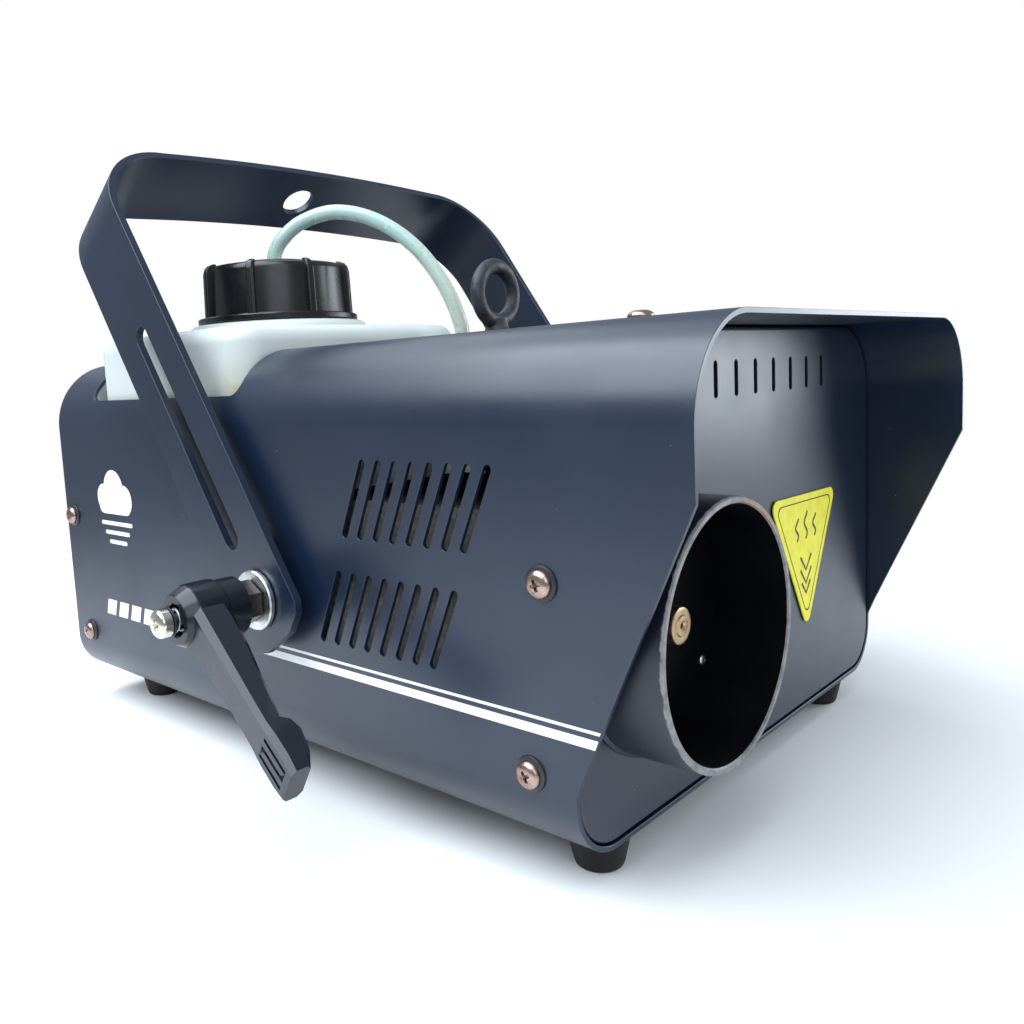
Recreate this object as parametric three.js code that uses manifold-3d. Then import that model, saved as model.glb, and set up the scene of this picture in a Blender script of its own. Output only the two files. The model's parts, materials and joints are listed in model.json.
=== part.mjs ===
// Compact stage fog machine: wrapped sheet-metal body, lift-out fluid tank, tilting yoke.
// Millimetres, +Z up. The fog outlet faces -Y and +X is to the right seen from the front.
import * as THREE from 'three';
import { mergeVertices } from 'three/addons/utils/BufferGeometryUtils.js';
import Module from 'manifold-3d';

// Driving dimensions
const BODY_W = 220;
const BODY_L = 328;
const BODY_TOP = 139;
const BODY_BOTTOM = -8.5;
const SHEET = 1.5;
const TOP_R = 28.6;
const BELLY_R = 19;
const HOOD_EDGE_Z = 96;
const PANEL_Y = 36;
const REAR_Y = 325;
const FOOT_H = 12;
const GAP = 0.3;

const OUTLET_X = -68;
const OUTLET_Z = 51.3;
const OUTLET_R = 38.3;
const OUTLET_WALL = 2.1;
const OUTLET_RIM_Y = 11.7;

const BAY_X1 = 23.5;
const BAY_Y0 = 183;
const BAY_Y1 = 298;
const NOTCH_Z = 122.5;
const TANK_FLOOR = 74;
const TANK_TOP = 150;
const CAP_X = -43;
const CAP_Y = 240.5;

const PIVOT_Y = 163;
const PIVOT_Z = 51.8;
const YOKE_LEAN = 34.3;
const YOKE_REACH = 199;
const YOKE_X = 118.5;
const YOKE_T = 3;
const YOKE_W = 37;
const YOKE_SLOT = { low: 24.6, high: 114.4, r: 4.2 };
const YOKE_R = 35;
const YOKE_BOW = 3.3;

const LEVER_DROP = 29.8;

const HOSE_R = 3.2;
const GROMMET_X = 4;
const GROMMET_Y = 171;

const SEG = 28;
const HALF_W = BODY_W / 2;
const wasm = await Module();
wasm.setup();

// Shape and solid helpers

function material(colour, roughness, metalness) {
  return new THREE.MeshStandardMaterial({ color: colour, roughness, metalness });
}

function toManifold(geometry) {
  const bare = geometry.clone();
  bare.deleteAttribute('normal');
  bare.deleteAttribute('uv');
  const merged = mergeVertices(bare, 1e-3);
  const vertProperties = new Float32Array(merged.attributes.position.array);
  const triVerts = new Uint32Array(merged.index.array);
  return new wasm.Manifold(new wasm.Mesh({ numProp: 3, vertProperties, triVerts }));
}

function fromManifold(solid) {
  const mesh = solid.getMesh();
  const geometry = new THREE.BufferGeometry();
  const step = mesh.numProp;
  const count = mesh.vertProperties.length / step;
  const position = new Float32Array(count * 3);
  for (let i = 0; i < count; i += 1) {
    position[3 * i] = mesh.vertProperties[step * i];
    position[3 * i + 1] = mesh.vertProperties[step * i + 1];
    position[3 * i + 2] = mesh.vertProperties[step * i + 2];
  }
  geometry.setAttribute('position', new THREE.BufferAttribute(position, 3));
  geometry.setIndex(new THREE.BufferAttribute(new Uint32Array(mesh.triVerts), 1));
  geometry.computeVertexNormals();
  return geometry;
}

function join(first, ...others) {
  let solid = toManifold(first);
  for (const other of others) {
    solid = solid.add(toManifold(other));
  }
  return fromManifold(solid);
}

function cut(first, ...tools) {
  let solid = toManifold(first);
  for (const tool of tools) {
    solid = solid.subtract(toManifold(tool));
  }
  return fromManifold(solid);
}

function box(x0, x1, y0, y1, z0, z1) {
  const geometry = new THREE.BoxGeometry(x1 - x0, y1 - y0, z1 - z0);
  return geometry.translate((x0 + x1) / 2, (y0 + y1) / 2, (z0 + z1) / 2);
}

// A turned solid: profile points are [radius, height], closed on the axis or back on itself.
function turned(profile, segments = SEG) {
  const points = profile.map(([r, h]) => new THREE.Vector2(r, h));
  return new THREE.LatheGeometry(points, segments).rotateX(Math.PI / 2);
}

function alongX(geometry) {
  return geometry.rotateY(Math.PI / 2);
}

function alongY(geometry) {
  return geometry.rotateX(-Math.PI / 2);
}

function drum(radius, h0, h1, segments = SEG) {
  return turned([[0, h0], [radius, h0], [radius, h1], [0, h1]], segments);
}

function ring(inner, outer, h0, h1, segments = SEG) {
  return turned([[inner, h0], [outer, h0], [outer, h1], [inner, h1], [inner, h0]], segments);
}

function hexNut(bore, corner, h0, h1) {
  return cut(drum(corner, h0, h1, 6), drum(bore, h0 - 1, h1 + 1, 16));
}

function shapeOf(points) {
  return new THREE.Shape(points.map(([a, b]) => new THREE.Vector2(a, b)));
}

function extruded(shape, depth, curveSegments) {
  return new THREE.ExtrudeGeometry(shape, { depth, bevelEnabled: false, curveSegments });
}

// Outline in (x, z) swept from y0 to y1.
function sweptY(shape, y0, y1, curveSegments = 8) {
  const geometry = extruded(shape, y1 - y0, curveSegments);
  return geometry.rotateX(Math.PI / 2).translate(0, y1, 0);
}

// Outline in (y, z) swept from x0 to x1.
function sweptX(shape, x0, x1, curveSegments = 8) {
  const geometry = extruded(shape, x1 - x0, curveSegments);
  const turn = new THREE.Matrix4().makeBasis(
    new THREE.Vector3(0, 1, 0),
    new THREE.Vector3(0, 0, 1),
    new THREE.Vector3(1, 0, 0),
  );
  return geometry.applyMatrix4(turn).translate(x0, 0, 0);
}

function hosePath(points) {
  return new THREE.CatmullRomCurve3(points.map(([x, y, z]) => new THREE.Vector3(x, y, z)));
}

// A round solid bar along a smooth path.
function barAlong(points, radius, steps, sides = 10) {
  const circle = new THREE.Shape();
  circle.absarc(0, 0, radius, 0, 2 * Math.PI, false);
  return new THREE.ExtrudeGeometry(circle, {
    steps,
    curveSegments: sides / 2,
    bevelEnabled: false,
    extrudePath: hosePath(points),
  });
}

function helixPoints(radius, h0, h1, turns, perTurn) {
  const points = [];
  const count = turns * perTurn;
  for (let i = 0; i <= count; i += 1) {
    const a = (2 * Math.PI * i) / perTurn;
    points.push([radius * Math.cos(a), radius * Math.sin(a), h0 + ((h1 - h0) * i) / count]);
  }
  return points;
}

function mesh(name, geometry, mat, position = [0, 0, 0]) {
  const node = new THREE.Mesh(geometry, mat.clone());
  node.name = name;
  node.position.set(...position);
  return node;
}

// Rounded outline of the body in (x, z), moved inwards by inset.
function bodyOutline(inset) {
  const w = HALF_W - inset;
  const top = BODY_TOP - inset;
  const bottom = BODY_BOTTOM + inset;
  const rt = TOP_R - inset;
  const rb = BELLY_R - inset;
  const shape = new THREE.Shape();
  shape.moveTo(-w + rb, bottom);
  shape.lineTo(w - rb, bottom);
  shape.absarc(w - rb, bottom + rb, rb, -Math.PI / 2, 0, false);
  shape.absarc(w - rt, top - rt, rt, 0, Math.PI / 2, false);
  shape.absarc(-w + rt, top - rt, rt, Math.PI / 2, Math.PI, false);
  shape.absarc(-w + rb, bottom + rb, rb, Math.PI, 1.5 * Math.PI, false);
  return shape;
}

// Slanted ventilation slots in both flanks: two rows of eight.
function flankVents() {
  const rows = [
    { top: 101.2, bottom: 75.5, firstY: 113.8, lean: 10.2 },
    { top: 64.1, bottom: 38.7, firstY: 128.5, lean: 10.2 },
  ];
  const tools = [];
  for (const row of rows) {
    for (let i = 0; i < 8; i += 1) {
      const y = row.firstY - 7.38 * i;
      const outline = shapeOf([
        [y - 1.5, row.top],
        [y + row.lean - 1.5, row.bottom],
        [y + row.lean + 1.5, row.bottom],
        [y + 1.5, row.top],
      ]);
      tools.push(sweptX(outline, -HALF_W - 2, HALF_W + 2));
    }
  }
  return tools;
}

// The wrapped cover: flanks, top and rolled lower edges in one sheet, drawn forward as a hood.
function coverGeometry() {
  const outer = sweptY(bodyOutline(0), 0, BODY_L);
  const inner = sweptY(bodyOutline(SHEET), -1, BODY_L + 1);
  const mouth = shapeOf([[-1, HOOD_EDGE_Z], [33.4, 19.5], [PANEL_Y, 13], [PANEL_Y, -20], [-1, -20]]);
  const far = HALF_W + 5;
  const pivots = alongX(drum(5.5, -far, far, 20)).translate(0, PIVOT_Y, PIVOT_Z);
  return cut(
    outer,
    inner,
    sweptX(mouth, -far, far),
    box(-far, BAY_X1, BAY_Y0, BAY_Y1, NOTCH_Z, BODY_TOP + 5),
    box(-70, 70, 62, 300, BODY_BOTTOM - 2, BODY_BOTTOM + 4),
    drum(4.2, BODY_TOP - 5, BODY_TOP + 5, 16).translate(0, 148, 0),
    drum(6, BODY_TOP - 5, BODY_TOP + 5, 20).translate(GROMMET_X, GROMMET_Y, 0),
    pivots,
    ...flankVents(),
  );
}

// A flanged end pan that closes one end of the cover.
function endPan(faceY, towards, depth) {
  const inset = SHEET + 0.4;
  const low = Math.min(faceY, faceY + towards * depth);
  const high = Math.max(faceY, faceY + towards * depth);
  const block = sweptY(bodyOutline(inset), low, high);
  const hollowLow = towards > 0 ? low + SHEET : low - 1;
  const hollowHigh = towards > 0 ? high + 1 : high - SHEET;
  return cut(block, sweptY(bodyOutline(inset + 1.2), hollowLow, hollowHigh));
}

function frontPanelGeometry() {
  const tools = [];
  for (let i = 0; i < 7; i += 1) {
    const x = -28 + 14.3 * i;
    tools.push(box(x - 1.3, x + 1.3, PANEL_Y - 2, PANEL_Y + 4, 114.4, 126.2));
  }
  const nozzleHole = alongY(drum(8, PANEL_Y - 2, PANEL_Y + 4, 20));
  return cut(endPan(PANEL_Y, 1, 17), nozzleHole.translate(OUTLET_X, 0, OUTLET_Z), ...tools);
}

const INLET = { x: 66, z: 30, w: 28, h: 46 };
const SWITCH = { x: 66, z: 84, w: 27, h: 20 };
const REMOTE = { x: 66, z: 117, r: 11 };

function rearPanelGeometry() {
  const y0 = REAR_Y - 4;
  const y1 = REAR_Y + 4;
  const tools = [];
  for (let i = 0; i < 9; i += 1) {
    const x = -86 + 11 * i;
    tools.push(box(x - 1.6, x + 1.6, y0, y1, 20, 56));
  }
  return cut(
    endPan(REAR_Y, -1, 18),
    box(INLET.x - INLET.w / 2, INLET.x + INLET.w / 2, y0, y1, INLET.z - INLET.h / 2, INLET.z + INLET.h / 2),
    box(SWITCH.x - 14, SWITCH.x + 14, y0, y1, SWITCH.z - 10.5, SWITCH.z + 10.5),
    alongY(drum(REMOTE.r + 0.5, y0, y1, 24)).translate(REMOTE.x, 0, REMOTE.z),
    ...tools,
  );
}

function floorGeometry() {
  const z0 = BODY_BOTTOM + SHEET + GAP;
  const tools = [];
  for (let i = 0; i < 8; i += 1) {
    const y = 200 + 11 * i;
    tools.push(box(-30, 30, y - 2, y + 2, z0 - 2, z0 + 4));
  }
  return cut(box(-86, 86, 55, 305, z0, z0 + SHEET), ...tools);
}

const FLOOR_Z = BODY_BOTTOM + 2 * SHEET + GAP;

// Fog outlet

function outletGeometry() {
  const tube = ring(OUTLET_R - OUTLET_WALL, OUTLET_R, OUTLET_RIM_Y, PANEL_Y - GAP, 48);
  return alongY(tube);
}

function nozzleGeometry() {
  const profile = [[1.3, 27], [5, 27], [5.65, 27.8], [5.65, 36], [4.5, 36], [4.5, 42], [1.3, 42], [1.3, 27]];
  return alongY(turned(profile, 24));
}

// Heater

function heaterGeometry() {
  const block = box(-28, 28, 42.3, 150, -28, 28);
  const well = alongY(drum(5, 120, 152, 16)).translate(0, 0, -12);
  return cut(block, well);
}

function jacketGeometry() {
  return cut(box(-36, 36, 54, 146, -36, 36), box(-28.4, 28.4, 50, 150, -28.4, 28.4));
}

function heaterStandGeometry() {
  const top = OUTLET_Z - 36 - GAP;
  const z0 = FLOOR_Z + GAP;
  const outline = shapeOf([
    [0, z0], [24, z0], [24, z0 + 1.5], [1.5, z0 + 1.5],
    [1.5, top - 1.5], [24, top - 1.5], [24, top], [0, top],
  ]);
  return sweptX(outline, -24, 24);
}

function thermostatGeometry() {
  const disc = alongY(drum(8, 150.3, 156, 24));
  return join(disc, box(-6, -4, 155, 162, -1, 1), box(4, 6, 155, 162, -1, 1));
}

// Pump

function pumpBodyGeometry() {
  const profile = [
    [2.2, -36], [4.2, -36], [4.2, -26], [11, -26], [11, 26], [4.2, 26], [4.2, 36],
    [2.2, 36], [2.2, 22], [7.3, 22], [7.3, -22], [2.2, -22], [2.2, -36],
  ];
  return alongX(turned(profile, 24));
}

function pumpCoilGeometry() {
  return cut(box(-13, 13, -18, 18, -18, 18), alongX(drum(11.3, -14, 14, 24)));
}

function pumpBracketGeometry() {
  const base = box(-22, 22, -18, 18, -21, -19.5);
  const cheeks = [box(-22, -20.5, -18, 18, -20, 14), box(20.5, 22, -18, 18, -20, 14)];
  const bore = alongX(drum(11.3, -24, 24, 24));
  return cut(join(base, ...cheeks), bore);
}

function plungerGeometry() {
  return alongX(turned([[1.2, -20], [7, -20], [7, 8], [1.2, 8], [1.2, -20]], 24));
}

function pumpSpringGeometry() {
  return alongX(barAlong(helixPoints(5.2, 9.2, 20.8, 4, 10), 0.7, 40, 6));
}

// Tank, cap and pickup

function roundedBlock(x0, x1, y0, y1, z0, z1, corner, edge) {
  const w = (x1 - x0) / 2 - edge;
  const d = (y1 - y0) / 2 - edge;
  const r = corner - edge;
  const shape = new THREE.Shape();
  shape.absarc(w - r, d - r, r, 0, Math.PI / 2, false);
  shape.absarc(-w + r, d - r, r, Math.PI / 2, Math.PI, false);
  shape.absarc(-w + r, -d + r, r, Math.PI, 1.5 * Math.PI, false);
  shape.absarc(w - r, -d + r, r, 1.5 * Math.PI, 2 * Math.PI, false);
  const geometry = new THREE.ExtrudeGeometry(shape, {
    depth: z1 - z0 - 2 * edge,
    bevelThickness: edge,
    bevelSize: edge,
    bevelSegments: 2,
    curveSegments: 3,
  });
  return geometry.translate((x0 + x1) / 2, (y0 + y1) / 2, z0 + edge);
}

function tankGeometry() {
  const outer = roundedBlock(-62.2, 62.2, -56, 56, 0, TANK_TOP - TANK_FLOOR, 12, 6);
  const inner = roundedBlock(-60, 60, -53.8, 53.8, 2.2, TANK_TOP - TANK_FLOOR - 2.2, 10, 4);
  const neck = drum(27, TANK_TOP - TANK_FLOOR - 3, 96, SEG);
  return cut(join(outer, neck), inner, drum(23, 60, 100, SEG));
}

function capGeometry() {
  const shell = turned([
    [3.7, 22], [28.5, 22], [28.5, 0.5], [35.5, 0.5], [35.5, 3.2], [33, 3.6], [31.8, 23],
    [29.8, 25.2], [17.6, 25.4], [17.2, 27.2], [3.7, 27.2], [3.7, 22],
  ], 32);
  const ribs = [];
  for (let i = 0; i < 8; i += 1) {
    const rib = box(29.5, 34.2, -2.6, 2.6, 3, 24.2);
    ribs.push(rib.rotateZ((i * Math.PI) / 4));
  }
  return join(shell, ...ribs);
}

function hoseGeometry() {
  const dx = GROMMET_X - CAP_X;
  const dy = GROMMET_Y - CAP_Y;
  const at = (s, z) => [CAP_X + dx * s, CAP_Y + dy * s, z];
  const route = [
    at(0, 175.6), at(0, 183), at(0.05, 190), at(0.17, 197), at(0.36, 200), at(0.58, 194.5),
    at(0.78, 181.5), at(0.92, 164), at(0.99, 148), at(1, 139.5), at(1, 134),
  ];
  return barAlong(route, HOSE_R, 44, 10);
}

const PUMP = { x: 58, y: 158, z: 17 };

function innerHoseGeometry() {
  const route = [
    [GROMMET_X, GROMMET_Y, 133.6], [6, 170, 110], [22, 160, 74], [70, 146, 56], [98, 152, 40],
    [100.5, 157, 24], [98.5, PUMP.y, PUMP.z], [95, PUMP.y, PUMP.z],
  ];
  return barAlong(route, HOSE_R, 40, 10);
}

function heaterPipeGeometry() {
  const route = [
    [PUMP.x - 36.4, PUMP.y, PUMP.z], [12, PUMP.y, PUMP.z], [-6, 164, 16], [-30, 172, 20],
    [-48, 172, 38], [-50, 164, 47], [-50, 150.5, 47],
  ];
  return barAlong(route, 2, 36, 8);
}

function trayGeometry() {
  const x1 = BAY_X1 + 2.5;
  const top = BODY_TOP - SHEET - GAP;
  const z0 = TANK_FLOOR - 3.5;
  const shell = box(-107.9, x1, BAY_Y0 - 2.5, BAY_Y1 + 2.5, z0, top);
  const hollow = box(-120, x1 - 1.5, BAY_Y0 - 1, BAY_Y1 + 1, z0 + 1.5, top + 5);
  const inside = sweptY(bodyOutline(SHEET + GAP), 140, 340);
  const corner = cut(sweptY(boxOutline(-140, 60, -40, 200), 150, 330), inside);
  return cut(shell, hollow, corner, box(-50, -36, 225, 256, z0 - 3, z0 + 5));
}

function boxOutline(x0, x1, z0, z1) {
  return shapeOf([[x0, z0], [x1, z0], [x1, z1], [x0, z1]]);
}

// Yoke and clamp levers

function yokePath(offset, samples) {
  const half = YOKE_X - offset;
  const reach = YOKE_REACH - offset;
  const r = YOKE_R - offset;
  const points = [[-half, -17.5]];
  for (let i = 0; i <= samples; i += 1) {
    const a = (Math.PI / 2) * (i / samples);
    points.push([-half + r - r * Math.cos(a), reach - r + r * Math.sin(a)]);
  }
  for (const s of [0.6, 0.25]) {
    points.push([-(half - r) * s, reach + YOKE_BOW * (1 - s * s)]);
  }
  const arms = points.map(([x, z]) => [-x, z]).reverse();
  return [...points, ...arms];
}

function yokeGeometry() {
  const outline = shapeOf([...yokePath(0, 8), ...yokePath(YOKE_T, 8).reverse()]);
  const bar = sweptY(outline, -YOKE_W / 2, YOKE_W / 2);
  const far = YOKE_X + 5;
  const slot = new THREE.Shape();
  slot.absarc(0, YOKE_SLOT.low, YOKE_SLOT.r, Math.PI, 2 * Math.PI, false);
  slot.absarc(0, YOKE_SLOT.high, YOKE_SLOT.r, 0, Math.PI, false);
  const chamfers = [];
  for (const side of [-1, 1]) {
    const tip = shapeOf([[side * 20, -9], [side * 20, -20], [side * 8, -20]]);
    chamfers.push(sweptX(tip, -far, far));
  }
  return cut(
    bar,
    alongX(drum(5.5, -far, far, 20)),
    sweptX(slot, -far, far, 6),
    drum(8, YOKE_REACH - 10, YOKE_REACH + 10, 20),
    ...chamfers,
  );
}

// Lever pieces are drawn for the +X side, with heights measured outward from the flank.
function studGeometry() {
  return alongX(turned([
    [0, -12], [5, -12], [5, 11.1], [7.4, 11.1], [7.4, 17], [3.8, 17], [3.8, 26],
    [2.2, 26], [2.2, 43.5], [4.7, 43.5], [4.7, 46.4], [3.4, 47.8], [0, 48.2],
  ], 16));
}

function handleGeometry() {
  const hub = alongX(turned([
    [4.2, 17.3], [9.2, 17.3], [10, 18.2], [10, 26], [10.6, 26.4], [10.6, 37], [8.4, 41], [5.2, 41],
    [5.2, 29], [2.5, 29], [2.5, 27], [4.2, 27], [4.2, 17.3],
  ], 20));
  const side = shapeOf([
    [26.5, 7.5], [26.5, 14], [36.8, 54], [33, 58], [34.5, 66],
    [40, 73.5], [47, 73.5], [46.2, 66], [38.8, 7.5],
  ]);
  const arm = sweptY(side, -6, 6).rotateX(Math.PI / 2);
  return join(hub, arm);
}

function handleSpringGeometry() {
  return alongX(barAlong(helixPoints(3.7, 29.8, 42.6, 4, 10), 0.45, 40, 6));
}

function eyeBoltGeometry() {
  const loop = new THREE.TorusGeometry(11.3, 3, 8, 24).rotateX(Math.PI / 2).translate(0, 0, 19.4);
  const stem = turned([
    [0, -14], [3.8, -14], [3.8, 0.3], [9, 0.3], [9, 3], [6, 4.2], [4.6, 8], [4.6, 10], [0, 10],
  ], 16);
  return join(loop, stem);
}

// Electrics

function pcbGeometry() {
  const board = box(-28, 28, -40, 40, 6, 7.6);
  const posts = [];
  for (const x of [-24, 24]) {
    for (const y of [-36, 36]) {
      posts.push(drum(2.5, 0, 6.4, 12).translate(x, y, 0));
    }
  }
  return join(board, ...posts);
}

function transformerGeometry() {
  return join(box(-17, 17, -20, 20, 0, 30), box(-10, 10, -26, 26, 7, 25));
}

function inletGeometry() {
  const body = join(box(-13.7, 13.7, -24, 1, -22.7, 22.7), box(-16, 16, 0.3, 2.6, -25.5, 25.5));
  const socket = box(-12, 12, -14, 4, 2, 19);
  const drawerBay = box(-11.6, 11.6, -16, 4, -19.6, -6.4);
  return cut(body, socket, drawerBay);
}

function inletPinGeometry() {
  return box(-1, 1, -13.7, -1, -2, 2);
}

function drawerGeometry() {
  const drawer = box(-11.3, 11.3, -15.7, 2.2, -19.3, -6.7);
  const well = box(-9.5, 9.5, -14, -2, -18, -4);
  const grip = box(-6, 6, 0.8, 3, -15, -13.2);
  return cut(drawer, well, grip);
}

function switchFrameGeometry() {
  const body = join(box(-13.6, 13.6, -16, 1, -10.1, 10.1), box(-15.5, 15.5, 0.3, 2.3, -12, 12));
  return cut(body, box(-11.7, 11.7, -10, 4, -8.6, 8.6));
}

function rockerGeometry() {
  const outline = shapeOf([
    [1.2, -7.6], [1, 0], [3, 7.6], [-1.5, 7.6], [-6, 2.5], [-6, -2.5], [-1.5, -7.6],
  ]);
  return sweptX(outline, -11.3, 11.3);
}

function remoteGeometry() {
  const shell = join(box(-13, 13, 0.3, 2.5, -13, 13), alongY(drum(REMOTE.r, -18, 1, 28)));
  return cut(shell, alongY(drum(8.6, -13, 4, 28)));
}

function labelGeometry() {
  const outline = shapeOf([
    [16.8, 71.8], [19.4, 75], [66.2, 74.2], [68.6, 71], [45.2, 28.2], [41.6, 28.2],
  ]);
  return sweptY(outline, PANEL_Y - 0.8, PANEL_Y - GAP);
}

// Materials
const blackCoat = material(0x14161b, 0.45, 0.3);
const zinc = material(0xb9bcc0, 0.35, 0.9);
const steel = material(0x8d9196, 0.4, 0.9);
const blackPlastic = material(0x121214, 0.4, 0);
const rubber = material(0x0c0c0d, 0.85, 0);
const milk = material(0xe9ecdf, 0.5, 0);
const brass = material(0xc0a060, 0.35, 0.9);
const copper = material(0xb87445, 0.35, 0.9);
const alloy = material(0xa6a9ad, 0.5, 0.8);
const wool = material(0xd9d2c2, 0.95, 0);
const mint = material(0xc6ded0, 0.35, 0);
const board = material(0x1f6b3a, 0.5, 0);
const yellow = material(0xf0d41c, 0.5, 0);

function housingNodes() {
  const nodes = [
    mesh('cover', coverGeometry(), blackCoat),
    mesh('front_panel', frontPanelGeometry(), blackCoat),
    mesh('rear_panel', rearPanelGeometry(), blackCoat),
    mesh('floor_plate', floorGeometry(), alloy),
    mesh('tank_tray', trayGeometry(), alloy),
    mesh('heat_label', labelGeometry(), yellow),
  ];
  const foot = turned([[0, 0], [7.2, 0], [8.8, 3], [10, FOOT_H - 0.3], [0, FOOT_H - 0.3]], 24);
  for (const [end, y] of [['f', 48], ['r', 300]]) {
    nodes.push(mesh(`foot_${end}l`, foot, rubber, [-83, y, BODY_BOTTOM - FOOT_H]));
    nodes.push(mesh(`foot_${end}r`, foot, rubber, [83, y, BODY_BOTTOM - FOOT_H]));
  }
  return nodes;
}

function fogNodes() {
  const axis = [OUTLET_X, 0, OUTLET_Z];
  return [
    mesh('outlet_tube', outletGeometry(), blackCoat, axis),
    mesh('nozzle', nozzleGeometry(), brass, axis),
    mesh('heater_block', heaterGeometry(), alloy, axis),
    mesh('heater_jacket', jacketGeometry(), wool, axis),
    mesh('heater_stand_front', heaterStandGeometry(), steel, [OUTLET_X, 62, 0]),
    mesh('heater_stand_rear', heaterStandGeometry(), steel, [OUTLET_X, 114, 0]),
    mesh('thermostat', thermostatGeometry(), steel, [OUTLET_X, 0, OUTLET_Z + 14]),
    mesh('heater_pipe', heaterPipeGeometry(), copper),
  ];
}

function pumpNodes() {
  const at = [PUMP.x, PUMP.y, PUMP.z];
  return [
    mesh('pump_body', pumpBodyGeometry(), blackPlastic, at),
    mesh('pump_coil', pumpCoilGeometry(), copper, at),
    mesh('pump_bracket', pumpBracketGeometry(), zinc, at),
    mesh('pump_plunger', plungerGeometry(), steel, at),
    mesh('pump_spring', pumpSpringGeometry(), steel, at),
    mesh('inner_hose', innerHoseGeometry(), mint),
  ];
}

function electricNodes() {
  const inlet = [INLET.x, REAR_Y, INLET.z];
  const low = FLOOR_Z + GAP;
  const nodes = [
    mesh('control_board', pcbGeometry(), board, [60, 232, low]),
    mesh('transformer', transformerGeometry(), steel, [-4, 128, low]),
    mesh('mains_inlet', inletGeometry(), blackPlastic, inlet),
    mesh('fuse_drawer', drawerGeometry(), blackPlastic, inlet),
    mesh('switch_frame', switchFrameGeometry(), blackPlastic, [SWITCH.x, REAR_Y, SWITCH.z]),
    mesh('rocker', rockerGeometry(), blackPlastic, [SWITCH.x, REAR_Y, SWITCH.z]),
    mesh('remote_socket', remoteGeometry(), zinc, [REMOTE.x, REAR_Y, REMOTE.z]),
  ];
  for (const [name, x, z] of [['pin_live', 6, 9], ['pin_neutral', -6, 9], ['pin_earth', 0, 13.5]]) {
    nodes.push(mesh(name, inletPinGeometry(), zinc, [INLET.x + x, REAR_Y, INLET.z + z]));
  }
  return nodes;
}

function tankGroup() {
  const group = new THREE.Group();
  group.position.set(CAP_X, CAP_Y, 0);
  group.add(mesh('tank', tankGeometry(), milk, [0, 0, TANK_FLOOR]));
  group.add(mesh('cap', capGeometry(), blackPlastic, [0, 0, 152.5]));
  group.add(mesh('cap_seal', ring(3.7, 26.5, 171, 174.2), rubber));
  group.add(mesh('pickup_tube', drum(3.2, 84.5, 175.2, 12), mint));
  group.add(mesh('pickup_filter', ring(1.5, 7, 77, 84.2, 20), brass));
  return group;
}

function yokeGroup() {
  const group = new THREE.Group();
  group.position.set(0, PIVOT_Y, PIVOT_Z);
  group.rotation.x = THREE.MathUtils.degToRad(-YOKE_LEAN);
  group.add(mesh('yoke', yokeGeometry(), blackCoat));
  return group;
}

// One clamp lever set; the left one is the right one mirrored.
function leverGroup(side) {
  const group = new THREE.Group();
  const sign = side === 'right' ? 1 : -1;
  group.position.set(sign * HALF_W, PIVOT_Y, PIVOT_Z);
  const pieces = [
    ['spacer', alongX(ring(5.4, 11, 0.3, 5.2)), rubber, 0],
    ['washer', alongX(ring(5.4, 10.6, 8.8, 10.8)), zinc, 0],
    ['nut', alongX(hexNut(5.1, 8.6, -9, -1.8)), zinc, 0],
    ['stud', studGeometry(), zinc, 0],
    ['handle', handleGeometry(), blackPlastic, LEVER_DROP],
    ['lever_spring', handleSpringGeometry(), steel, 0],
  ];
  for (const [name, geometry, mat, tilt] of pieces) {
    geometry.rotateX(THREE.MathUtils.degToRad(tilt));
    if (sign < 0) {
      geometry.scale(-1, 1, 1);
      flipFaces(geometry);
    }
    group.add(mesh(`${side}_${name}`, geometry, mat));
  }
  return group;
}

// Restores outward faces after a mirror copy.
function flipFaces(geometry) {
  if (geometry.index) {
    const order = geometry.index.array;
    for (let i = 0; i < order.length; i += 3) {
      [order[i], order[i + 1]] = [order[i + 1], order[i]];
    }
  } else {
    const position = geometry.attributes.position;
    for (let i = 0; i < position.count; i += 3) {
      const a = new THREE.Vector3().fromBufferAttribute(position, i);
      const b = new THREE.Vector3().fromBufferAttribute(position, i + 1);
      position.setXYZ(i, b.x, b.y, b.z);
      position.setXYZ(i + 1, a.x, a.y, a.z);
    }
  }
  geometry.computeVertexNormals();
}

function topNodes() {
  return [
    mesh('eye_bolt', eyeBoltGeometry(), blackCoat, [0, 148, BODY_TOP]),
    mesh('eye_nut', hexNut(3.9, 7, 0, 6), zinc, [0, 148, BODY_TOP - SHEET - 6.3]),
    mesh('grommet', turned([
      [3.5, -3], [5.7, -3], [5.7, 0.3], [8, 0.3], [7.6, 2.2], [3.5, 2.4], [3.5, -3],
    ], 24), rubber, [GROMMET_X, GROMMET_Y, BODY_TOP]),
    mesh('feed_hose', hoseGeometry(), mint),
  ];
}

const machine = new THREE.Group();
machine.name = 'fog_machine';
const assembly = new THREE.Group();
assembly.position.set(0, -BODY_L / 2, FOOT_H - BODY_BOTTOM);
assembly.add(...housingNodes(), ...fogNodes(), ...pumpNodes(), ...electricNodes(), ...topNodes());
assembly.add(tankGroup(), yokeGroup(), leverGroup('left'), leverGroup('right'));
machine.add(assembly);

export default machine;
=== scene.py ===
"""Visual model of a compact stage fog machine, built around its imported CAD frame.

Shapes are drawn in millimetres in the assembly's own axes: x to the right, y back from the hood's
front edge, z up from 8.5 mm above the body's underside. place() moves them into the row frame in metres.
"""
import math

import bmesh
import bpy
import json
from mathutils import Matrix, Vector
from mathutils.geometry import interpolate_bezier


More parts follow.
